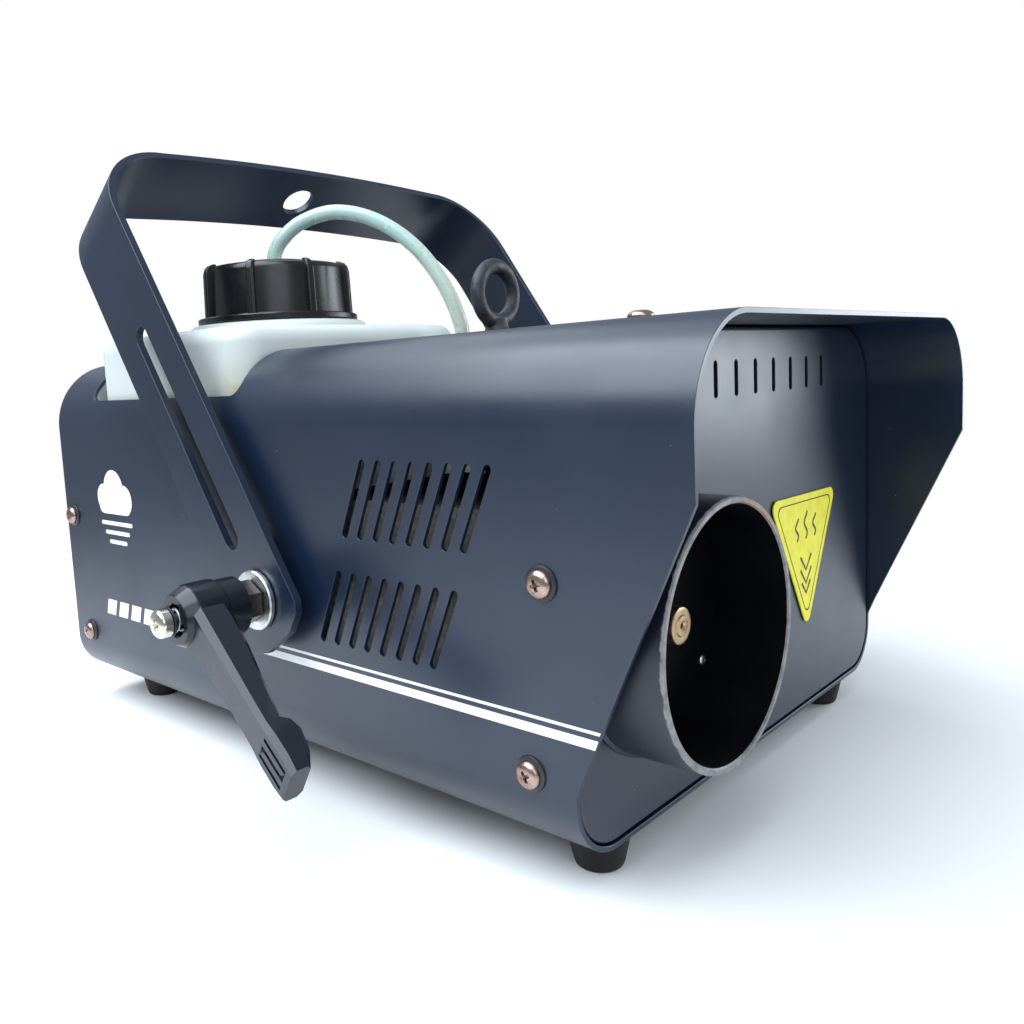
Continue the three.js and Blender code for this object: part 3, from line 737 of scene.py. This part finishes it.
def on_outlet_axis(name, profile, segments):
    """A turned piece on the outlet's axis, with its profile's heights along y."""
    return shifted(moved(lathe(name, profile, segments), TO_Y), OUTLET_X, 0, OUTLET_Z)


def make_outlet():
    """The worn tube with a near-black lining and back plate that paint the shade inside it, the nozzle and a small
    fastener.
    """
    inner = OUTLET_R - OUTLET_WALL
    rim, base = OUTLET_RIM_Y, PANEL_Y - 0.3
    profile = [
        (inner, base), (inner, rim + 0.5), (inner + 0.4, rim), (OUTLET_R - 0.4, rim), (OUTLET_R, rim + 0.5),
        (OUTLET_R, base - 1.2), (OUTLET_R + 0.9, base - 0.1), (OUTLET_R + 0.9, base), (inner, base),
    ]
    tube = stand_in(on_outlet_axis("outlet_tube_fine", profile, 120), "outlet_tube", TUBE_COAT)
    # The tube's inner faces take the near-black painted shade.
    tube.data.materials.append(TUBE_SHADE)
    axis = (Vector((OUTLET_X, 0, OUTLET_Z)) + SHIFT) * MM
    for face in tube.data.polygons:
        reach = math.hypot(face.center.x - axis.x, face.center.z - axis.z)
        face.material_index = int(reach < (inner + 0.05) * MM)
    low, high = base - 0.2, base + 0.2
    # A near-black plate over the panel at the back of the tube: painted shade, not a real part.
    plate = [(6.0, low), (inner - 0.2, low), (inner - 0.2, high), (6.0, high), (6.0, low)]
    place(on_outlet_axis("outlet_shade_plate", plate, 96), "housing", TUBE_SHADE, "black_coat")
    profile = [
        (0.9, 27.6), (1.6, 27), (3.0, 27.1), (3.3, 27.5), (4.6, 27.3), (5.4, 27.6), (5.65, 28.2),
        (5.65, 36), (4.5, 36), (4.5, 42), (0.9, 42), (0.9, 27.6),
    ]
    stand_in(on_outlet_axis("nozzle_fine", profile, 48), "nozzle", BRASS)
    fastener = moved(pan_screw("panel_fastener", 1.9, 1.2), Matrix.Rotation(math.pi / 2, 4, "X"))
    place(shifted(fastener, OUTLET_X + 27, PANEL_Y, 32.5), "housing", ZINC, "zinc")


def flat_print(name, outline, look, side):
    """Ink on a flank: side is -1 for the left one."""
    x = side * (HALF_W + PRINT_GAP)
    low, high = sorted((x, x + side * PRINT_THICK))
    return place(prism_x(name, outline, low, high), "housing", look, "black_coat")


def label_print(name, outline, y_face):
    ink_solid = prism_y(name, outline, y_face - 0.06, y_face - 0.01)
    return place(ink_solid, "housing", BLACK_INK, "yellow_label")


def make_label():
    """A yellow triangle with a black border, three waves of heat and three chevrons."""
    corners = [(9.4, 75.6), (69.4, 74.4), (41.2, 22.5)]
    y_face = PANEL_Y - 0.8
    film = prism_y("heat_label_fine", filleted(corners, [3.2] * 3, 8), y_face, PANEL_Y - 0.3)
    stand_in(film, "heat_label", YELLOW_INK, 0.1)
    centre = sum((Vector(c) for c in corners), Vector((0, 0))) / 3
    inner = [tuple(centre + (Vector(c) - centre) * 0.86) for c in corners]
    core = [tuple(centre + (Vector(c) - centre) * 0.835) for c in corners]
    border = prism_y("label_line", filleted(inner, [2.6] * 3, 8), y_face - 0.06, y_face - 0.01)
    middle = prism_y("core", filleted(core, [2.4] * 3, 8), y_face - 1, y_face + 1)
    place(combined(border, [middle]), "housing", BLACK_INK, "yellow_label")
    for i, x in enumerate((-8.0, 0.0, 8.0)):
        wave = []
        height = 10.5 - 2.0 * abs(i - 1)
        for k in range(25):
            t = k / 24
            wave.append((centre.x + x + 1.3 * math.sin(TAU * t * 1.25), centre.y + 0.5 + height * t))
        label_print(f"label_heat_{i}", ribbon(wave, 1.1), y_face)
    for i, (drop, half) in enumerate(((6.0, 5.0), (11.0, 5.0), (16.0, 4.0))):
        top = centre.y - drop
        chevron = [(centre.x - half, top), (centre.x, top - 1.1 * half), (centre.x + half, top)]
        label_print(f"label_chevron_{i}", ribbon(chevron, 1.2), y_face)


def fog_cloud(name, side):
    """The outline of a small cloud, as one solid of ink."""
    near, far = side * (HALF_W + PRINT_GAP), side * (HALF_W + PRINT_GAP + PRINT_THICK)
    puffs = []
    for y, z, radius in ((270.5, 79, 6.6), (279.5, 83.5, 8.6), (288.5, 79.5, 6.2)):
        puffs.append(prism_x("puff", [(y + dy, z + dz) for dy, dz in circle(radius, 40)], near, far))
    cloud = combined(prism_x("base", capsule((269, 76), (290, 76), 3.6), near, far), puffs, "UNION")
    cloud.name = name
    return cloud


def make_prints():
    """Two stripes, a plain pictogram of rising fog and a row of bars on each flank."""
    stripe_end = 189
    stripes = (("wide", 28.0, 30.7, 29.6, 28.5), ("thin", 32.2, 33.1, 28.1, 27.7))
    for side, word in ((-1, "left"), (1, "right")):
        for kind, low, high, front_low, front_high in stripes:
            outline = [(front_low, low), (stripe_end, low), (stripe_end, high), (front_high, high)]
            flat_print(f"stripe_{kind}_{word}", outline, WHITE_INK, side)
        place(fog_cloud(f"fog_pictogram_{word}", side), "housing", WHITE_INK, "black_coat")
        for i in range(3):
            z = 68.2 - 4.2 * i
            line = capsule((266 + 3 * i, z), (292 - 3 * i, z), 0.9)
            flat_print(f"fog_line_{word}_{i}", line, WHITE_INK, side)
        for i in range(5):
            y = 244 + 11 * i
            bar = [(y, 25.5), (y + 8, 25.5), (y + 5.6, 32.5), (y - 2.4, 32.5)]
            flat_print(f"level_bar_{word}_{i}", bar, WHITE_INK, side)


# ---------------- tank, cap and hose

def make_tank():
    """A block with rounded edges, a raised collar, a neck and a hole down its middle."""
    half_x, half_y, corner, edge = 62.2, 56.0, 13.0, 6.5
    height = TANK_TOP - TANK_FLOOR
    rounds = []
    for k in range(8):
        angle = math.pi / 2 * k / 7
        rounds.append((edge * (1 - math.sin(angle)), edge * (1 - math.cos(angle))))
    levels = rounds + [(inset, height - 1.2 - z) for inset, z in reversed(rounds)]
    levels += [(12.0, height - 0.75), (22.0, height - 0.35)]
    rings = []
    for inset, z in levels:
        outline = rounded_rect(half_x - inset, half_y - inset, max(corner - inset, 4.0))
        rings.append([(x + CAP_X, y + CAP_Y, z + TANK_FLOOR) for x, y in outline])
    collar = lathe("collar", [
        (0, 70), (39.5, 70), (39.5, 75.6), (38.9, 77.4), (37.4, 78.4), (27, 78.6),
        (27, 95.5), (26.2, 96), (0, 96),
    ], 72)
    hollow = rod("hollow", 23, 20, 100, 56)
    tank = combined(loft("tank_fine", rings), [shifted(collar, CAP_X, CAP_Y, TANK_FLOOR)], "UNION")
    tank = combined(tank, [shifted(hollow, CAP_X, CAP_Y, TANK_FLOOR)])
    return stand_in(tank, "tank", MILK, sharp=40)


def make_cap():
    """A stepped screw cap with eight ribs that fold over its top edge."""
    base, rib_turn = 152.5, -0.19
    sections = ((3.2, 34.4, 1.75), (21.5, 33.9, 1.65), (23.8, 33.2, 1.5), (25.2, 31.9, 1.3), (26, 29.9, 1))
    shell = lathe("cap_fine", [
        (4.9, 22), (28.5, 22), (28.5, 0.5), (35.1, 0.5), (35.5, 0.9), (35.5, 2.7), (35.1, 3.1), (32.3, 3.3),
        (32.0, 3.8), (31.2, 22.4), (30.6, 24.0), (29.3, 25.1), (27.5, 25.4), (18.2, 25.2), (17.8, 25.5),
        (17.5, 26.7), (16.9, 27.2), (8.2, 27.2), (7.8, 26.9), (5.3, 26.9), (4.9, 26.6), (4.9, 22),
    ], 96)
    ribs = []
    for i in range(8):
        rings = []
        for z, out, half in sections:
            corners = [(28.5, -half), (out, -half), (out, half), (28.5, half)]
            outline = filleted(corners, [0, 0.5 * half, 0.5 * half, 0], 5)
            rings.append([(x, y, z) for x, y in outline])
        ribs.append(moved(loft("rib", rings), Matrix.Rotation(i * TAU / 8 + rib_turn, 4, "Z")))
    cap = shifted(combined(shell, ribs, "UNION"), CAP_X, CAP_Y, base)
    return stand_in(cap, "cap", CAP_PLASTIC, sharp=40)


def hose_route():
    """Points from the cap to the grommet, in the assembly's millimetres."""
    dx, dy = GROMMET_X - CAP_X, GROMMET_Y - CAP_Y
    steps = [
        (0, 175.6), (0, 183), (0.05, 190), (0.17, 197), (0.36, 200), (0.58, 194.5),
        (0.78, 181.5), (0.92, 164), (0.99, 148), (1, 139.5), (1, 134),
    ]
    return [Vector((CAP_X + dx * s, CAP_Y + dy * s, z)) for s, z in steps]


def smooth_path(points, per_span=8):
    """A smooth line through points, with each tangent along its neighbours."""
    line = []
    for i in range(len(points) - 1):
        a, b = points[i], points[i + 1]
        before, after = points[max(i - 1, 0)], points[min(i + 2, len(points) - 1)]
        third = (b - a).length / 3
        knot_a = a + (b - before).normalized() * third
        knot_b = b - (after - a).normalized() * third
        line += list(interpolate_bezier(a, knot_a, knot_b, b, per_span + 1))[:-1]
    return line + [points[-1]]


def make_hose():
    """The feed hose from the tank's cap down to the body's grommet."""
    line = smooth_path(hose_route())
    hose = tube_along("feed_hose_fine", line, HOSE_R, 28)
    hose.data.transform(Matrix.Scale(MM, 4) @ Matrix.Translation(SHIFT))
    hose.data.shade_smooth()
    hose.data.set_sharp_from_angle(angle=math.radians(50))
    hose.data.materials.append(MINT)
    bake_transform(hose)
    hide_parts("feed_hose")


def make_grommet():
    profile = [
        (3.5, -3), (5.7, -3), (5.9, 0.3), (8.2, 0.35), (8.4, 1.0), (7.8, 2.0), (6.2, 2.8), (4.2, 2.9),
        (3.5, 2.4), (3.5, -3),
    ]
    grommet = shifted(lathe("grommet_fine", profile, 48), GROMMET_X, GROMMET_Y, TOP)
    stand_in(grommet, "grommet", RUBBER)


# ---------------- eye bolt

def make_eye_bolt():
    """A cast ring, a little fatter at its top and bottom, on a collared stem."""
    centre_z, major, minor = 19.4, 11.3, 3.0
    around, across = 64, 20
    verts, faces = [], []
    for i in range(around):
        a = TAU * i / around
        fat = minor * (1.0 + 0.10 * math.cos(a + math.pi / 2) ** 2)
        for k in range(across):
            b = TAU * k / across
            r = major + fat * math.cos(b)
            verts.append((r * math.cos(a), minor * math.sin(b), centre_z + r * math.sin(a)))
    for i in range(around):
        for k in range(across):
            n, m = (i + 1) % around, (k + 1) % across
            faces.append((i * across + k, n * across + k, n * across + m, i * across + m))
    loop = new_object("eye_bolt_fine", verts, faces)
    stem = lathe("stem", [
        (0, -14), (3.8, -14), (3.8, 0.3), (8.7, 0.3), (9, 0.8), (9, 2.4), (8.5, 3.1), (6.4, 3.6),
        (5.2, 4.6), (4.7, 6.4), (4.6, 9.2), (0, 9.6),
    ], 56)
    eye = shifted(combined(loop, [stem], "UNION"), 0, 148, TOP)
    stand_in(eye, "eye_bolt", CAST, sharp=50)


# ---------------- yoke and levers

def yoke_line(offset, steps):
    """The yoke's centre line from foot to foot in (x, z), moved inwards by offset."""
    half, reach, radius = YOKE_X - offset, YOKE_REACH - offset, YOKE_R - offset
    side = [(-half, -17.5)]
    for k in range(steps + 1):
        angle = math.pi / 2 * k / steps
        side.append((-half + radius * (1 - math.cos(angle)), reach - radius + radius * math.sin(angle)))
    flat = half - radius
    for k in range(1, 7):
        share = 1 - k / 7
        side.append((-flat * share, reach + YOKE_BOW * (1 - share * share)))
    return side + [(0, reach + YOKE_BOW)] + [(-x, z) for x, z in reversed(side)]


def make_yoke():
    """A bent flat bar with a slot in each arm, drawn upright and then leaned back."""
    outline = yoke_line(0, 16) + yoke_line(YOKE_T, 16)[::-1]
    bar = prism_y("yoke_fine", outline, -YOKE_W / 2, YOKE_W / 2)
    far = YOKE_X + 6
    cutters = [prism_x("slot", capsule((0, SLOT_LOW), (0, SLOT_HIGH), SLOT_R, 12), -far, far)]
    cutters.append(moved(rod("bore", 5.5, -far, far), TO_X))
    cutters.append(rod("top_hole", 8, 180, 215, 56))
    corner = [(24, -5), (18.5, -9.8), (16.6, -13.4), (8, -17.6), (6, -24), (24, -24)]
    for side in (-1, 1):
        cutters.append(prism_x("chamfer", [(side * y, z) for y, z in corner], -far, far))
    bar = combined(bar, cutters)
    lean = Matrix.Translation(PIVOT) @ Matrix.Rotation(math.radians(-YOKE_LEAN), 4, "X")
    stand_in(moved(bar, lean), "yoke", COAT, 0.4, steps=3)


def section(inner, outer, half, c, t):
    """A cross-section of the lever's arm at distance t, in (h, w), with corners cut by c."""
    corners = [
        (inner, -half + c), (inner + c, -half), (outer - c, -half), (outer, -half + c),
        (outer, half - c), (outer - c, half), (inner + c, half), (inner, half - c),
    ]
    return [(h, -t, w) for h, w in corners]


def lever_handle(name):
    """A round hub bored for its spring and stud, with a tapering arm grooved at the tip."""
    hub = moved(lathe(name, [
        (4.2, 17.3), (9.4, 17.3), (10.0, 17.9), (10.1, 25.6), (10.7, 26.2), (10.9, 27.0), (10.9, 36.0),
        (10.3, 37.2), (8.6, 40.4), (8.1, 41.0), (5.8, 41.0), (5.3, 40.5), (5.2, 29.0), (2.5, 29.0),
        (2.5, 27.0), (4.2, 27.0), (4.2, 17.3),
    ], 64), TO_X)
    stations = [
        (4, 26.6, 38.8, 8.9, 2.2), (9, 26.6, 39.3, 8.7, 2.2), (14, 27.0, 39.6, 8.0, 2.1),
        (22, 28.4, 40.3, 7.2, 2.0), (32, 31.0, 41.4, 6.6, 1.8), (43, 34.0, 42.8, 6.3, 1.6),
        (54, 37.2, 44.4, 6.3, 1.5), (56.4, 34.6, 44.8, 6.6, 1.5), (60, 34.2, 45.3, 6.9, 1.6),
        (68, 36.8, 46.3, 6.9, 1.6), (73.2, 40.0, 47.0, 6.1, 1.6),
    ]
    arm = loft("arm", [section(a, b, half, c, t) for t, a, b, half, c in stations])
    grooves = []
    for i in (-1, 0, 1):
        grooves.append(block("groove", 44.0, 50.0, -70.6, -57.5, 3.0 * i - 0.55, 3.0 * i + 0.55))
    arm = combined(arm, [joined("grooves", grooves)])
    bores = joined("bores", [rod("spring_bore", 5.2, 29, 46, 64), rod("stud_bore", 4.2, 16, 27, 64)])
    return combined(combined(hub, [arm], "UNION"), [moved(bores, TO_X)])


def hexagon(name, bore, radius, h0, h1, chamfer=0.5):
    rings = []
    small = radius - chamfer
    for h, r in ((h0, small), (h0 + chamfer, radius), (h1 - chamfer, radius), (h1, small)):
        rings.append([(x, y, h) for x, y in circle(r, 6)])
    return combined(loft(name, rings), [rod("bore", bore, h0 - 1, h1 + 1)])


def helix(radius, h0, h1, turns, per_turn=20):
    points = []
    for i in range(turns * per_turn + 1):
        angle = TAU * i / per_turn
        height = h0 + (h1 - h0) * i / (turns * per_turn)
        points.append((radius * math.cos(angle), radius * math.sin(angle), height))
    return points


def make_lever(side):
    """One clamp lever, drawn for the +X side and mirrored for the left."""
    sign = 1 if side == "right" else -1
    clamp = f"{side}_clamp"
    flip = Matrix.Scale(sign, 4, (1, 0, 0))
    out = Matrix.Translation((sign * HALF_W, PIVOT.y, PIVOT.z)) @ flip
    outward = out @ TO_X
    spacer = lathe(f"{side}_spacer_fine", [
        (5.4, 0.3), (10.8, 0.3), (11, 0.6), (11, 4.9), (10.8, 5.2), (5.4, 5.2), (5.4, 0.3),
    ])
    stand_in(moved(spacer, outward), f"{side}_spacer", RUBBER)
    washer = lathe(f"{side}_washer_fine", [
        (5.4, 8.8), (10.3, 8.8), (10.6, 9.1), (10.6, 10.3), (10.2, 10.8), (6, 10.8), (5.4, 10.5), (5.4, 8.8),
    ])
    stand_in(moved(washer, outward), f"{side}_washer", ZINC)
    stud = lathe(f"{side}_stud_fine", [
        (0, -12), (4.6, -12), (5, -11.5), (5, 11.4), (3.8, 11.4), (3.8, 26), (2.2, 26), (2.2, 43.6),
        (0, 43.6),
    ], 40)
    stand_in(moved(stud, outward), f"{side}_stud", ZINC)
    neck = hexagon(f"{side}_stud_hexagon", 5.05, 7.8, 11.0, 17.1)
    place(moved(neck, outward), clamp, BLACK_ZINC, "zinc", 0.2)
    head = shifted(cheese_screw(f"{side}_lever_screw", 4.7, 4.5), 0, 0, 43.6)
    place(moved(head, outward), clamp, NICKEL, "zinc", 0.12)
    cup = [(2.4, 42.7), (4.9, 42.7), (4.9, 43.4), (2.4, 43.4), (2.4, 42.7)]
    cup = lathe(f"{side}_spring_washer", cup, 40)
    place(moved(cup, outward), clamp, BLACK_ZINC, "black_plastic", 0.1)
    drop = Matrix.Rotation(math.radians(LEVER_DROP), 4, "X")
    handle = moved(lever_handle(f"{side}_handle_fine"), out @ drop)
    stand_in(handle, f"{side}_handle", BLACK_PLASTIC, 0.45, steps=3, sharp=30)
    spring = moved(tube_along(f"{side}_spring_fine", helix(3.7, 29.9, 41.9, 4), 0.45), outward)
    spring = stand_in(spring, f"{side}_lever_spring", STEEL, sharp=60)
    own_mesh(spring)
    nut = moved(hexagon(f"{side}_nut_fine", 5.1, 8.6, -9, -1.8), outward)
    stand_in(nut, f"{side}_nut", ZINC, 0.15)


# ---------------- rear and inside

def make_rear_fittings():
    for node in ("mains_inlet", "switch_frame", "rocker", "fuse_drawer"):
        refined(node, BLACK_PLASTIC, 0.5)
    for node in ("pin_live", "pin_neutral", "pin_earth"):
        refined(node, ZINC, 0.3)
    refined("remote_socket", ZINC, 0.4)
    for i in range(3):
        angle = TAU * i / 3 + math.pi / 2
        pin = lathe(f"remote_pin_{i}", [(0, -12.8), (1.0, -12.8), (1.0, -5.6), (0.6, -5), (0, -4.9)], 20)
        x, z = REMOTE_X + 4.6 * math.cos(angle), REMOTE_Z + 4.6 * math.sin(angle)
        place(shifted(moved(pin, TO_Y), x, REAR_Y, z), "housing", BRASS, "brass")


def make_inside():
    """The pieces inside keep their CAD shapes, with softer edges and real finishes."""
    for node in ("floor_plate", "tank_tray", "heater_block"):
        refined(node, ALLOY, 0.25)
    for node in ("heater_stand_front", "heater_stand_rear", "thermostat", "transformer"):
        refined(node, STEEL, 0.25)
    looks = {
        "heater_jacket": WOOL, "heater_pipe": COPPER, "pump_body": BLACK_PLASTIC, "pump_coil": COPPER,
        "pump_bracket": ZINC, "pump_plunger": STEEL, "pump_spring": STEEL, "inner_hose": MINT,
        "control_board": BOARD, "eye_nut": ZINC, "cap_seal": RUBBER, "pickup_tube": MINT,
        "pickup_filter": BRASS,
    }
    for node, look in looks.items():
        piece = refined(node, look, 0.15)
        if node == "pump_spring":
            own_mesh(piece)


# ---------------- stage

CAMERA_PLACE = Vector((-0.2976, -0.2644, 0.1472))
CAMERA_HEADING, CAMERA_DOWN, CAMERA_ROLL = 46.086, 6.549, -3.0
CAMERA_LENS, CAMERA_SHIFT = 32.04, (0.0709, -0.0330)
FILL_STRENGTH = 0.42
STUDIO_TINT = (0.84, 0.92, 1.0)


def make_camera():
    """A camera that looks down slightly at the outlet's side of the machine."""
    heading, down, roll = (math.radians(a) for a in (CAMERA_HEADING, CAMERA_DOWN, CAMERA_ROLL))
    ahead = Vector((math.sin(heading) * math.cos(down), math.cos(heading) * math.cos(down), -math.sin(down)))
    level = Vector((math.cos(heading), -math.sin(heading), 0))
    up = level.cross(ahead)
    right = level * math.cos(roll) + up * math.sin(roll)
    up = right.cross(ahead)
    camera = linked("camera", bpy.data.cameras.new("camera"))
    turn = Matrix((right, up, -ahead)).transposed().to_4x4()
    camera.matrix_world = Matrix.Translation(CAMERA_PLACE) @ turn
    camera.data.lens = CAMERA_LENS
    camera.data.shift_x, camera.data.shift_y = CAMERA_SHIFT
    camera.data.clip_start = 0.01
    bpy.context.scene.camera = camera


def area_light(name, place_at, target, size, power):
    light = bpy.data.lights.new(name, "AREA")
    light.shape = "RECTANGLE"
    light.size, light.size_y = size
    light.energy = power
    light.color = STUDIO_TINT
    lamp = linked(name, light)
    lamp.location = place_at
    lamp.visible_camera = False
    lamp.rotation_euler = (Vector(target) - Vector(place_at)).to_track_quat("-Z", "Y").to_euler()


def make_floor():
    """A pale floor that fades into the backdrop around the machine."""
    half = 6.0
    corners = [(-half, -half, 0), (half, -half, 0), (half, half, 0), (-half, half, 0)]
    floor = new_object("floor", corners, [(0, 1, 2, 3)])
    look = Look("pale_floor", Specular_IOR_Level=0.2)
    look.colour(look.ramp(look.noise(3, 2), [(0.3, (0.86, 0.86, 0.86)), (0.7, (0.88, 0.88, 0.88))]))
    look.roughness((8, 2), 0.8, 0.9)
    far = look.node("ShaderNodeVectorMath")
    far.operation = "LENGTH"
    look.feed(far.inputs[0], look.coordinates)
    look.feed(look.shader.inputs["Alpha"], look.value_ramp(far.outputs["Value"], 0.35, 0.75, 1.0, 0.0))
    floor.data.materials.append(look.material)


def make_backdrop():
    """White where it is seen, and a soft cool fill for everything it lights."""
    world = bpy.data.worlds.new("studio")
    bpy.context.scene.world = world
    world.use_nodes = True
    nodes, links = world.node_tree.nodes, world.node_tree.links
    backdrop = nodes["Background"]
    backdrop.inputs["Strength"].default_value = 1.0
    backdrop.inputs["Color"].default_value = (1.0, 1.0, 1.0, 1)
    fill = nodes.new("ShaderNodeBackground")
    fill.inputs["Strength"].default_value = FILL_STRENGTH
    fill.inputs["Color"].default_value = (*STUDIO_TINT, 1)
    mixed = nodes.new("ShaderNodeMixShader")
    links.new(nodes.new("ShaderNodeLightPath").outputs["Is Camera Ray"], mixed.inputs[0])
    links.new(fill.outputs[0], mixed.inputs[1])
    links.new(backdrop.outputs[0], mixed.inputs[2])
    links.new(mixed.outputs[0], nodes["World Output"].inputs["Surface"])


def make_lights():
    """Four soft lamps, and the plain view that their strengths are set for."""
    area_light("right", (1.2, -0.7, 0.35), (0, -0.1, 0.1), (0.9, 0.7), 11)
    area_light("left_floor", (-0.85, 0.25, 1.15), (-0.7, 0.2, 0), (1.6, 1.6), 42)
    area_light("top_rear", (0.35, 0.95, 1.35), (0, 0, 0.15), (1.2, 1.2), 5)
    area_light("front", (-0.9, -1.2, 0.9), (0, 0, 0.1), (1.0, 1.0), 7)
    bpy.context.scene.view_settings.view_transform = "Standard"


make_camera()
make_hose()
make_cover()
make_front_panel()
make_rear_panel()
make_feet()
make_cover_screws()
make_outlet()
make_label()
make_prints()
make_tank()
make_cap()
make_grommet()
make_eye_bolt()
make_yoke()
make_lever("left")
make_lever("right")
make_rear_fittings()
make_inside()
make_floor()
make_backdrop()
make_lights()

bpy.context.view_layer.update()
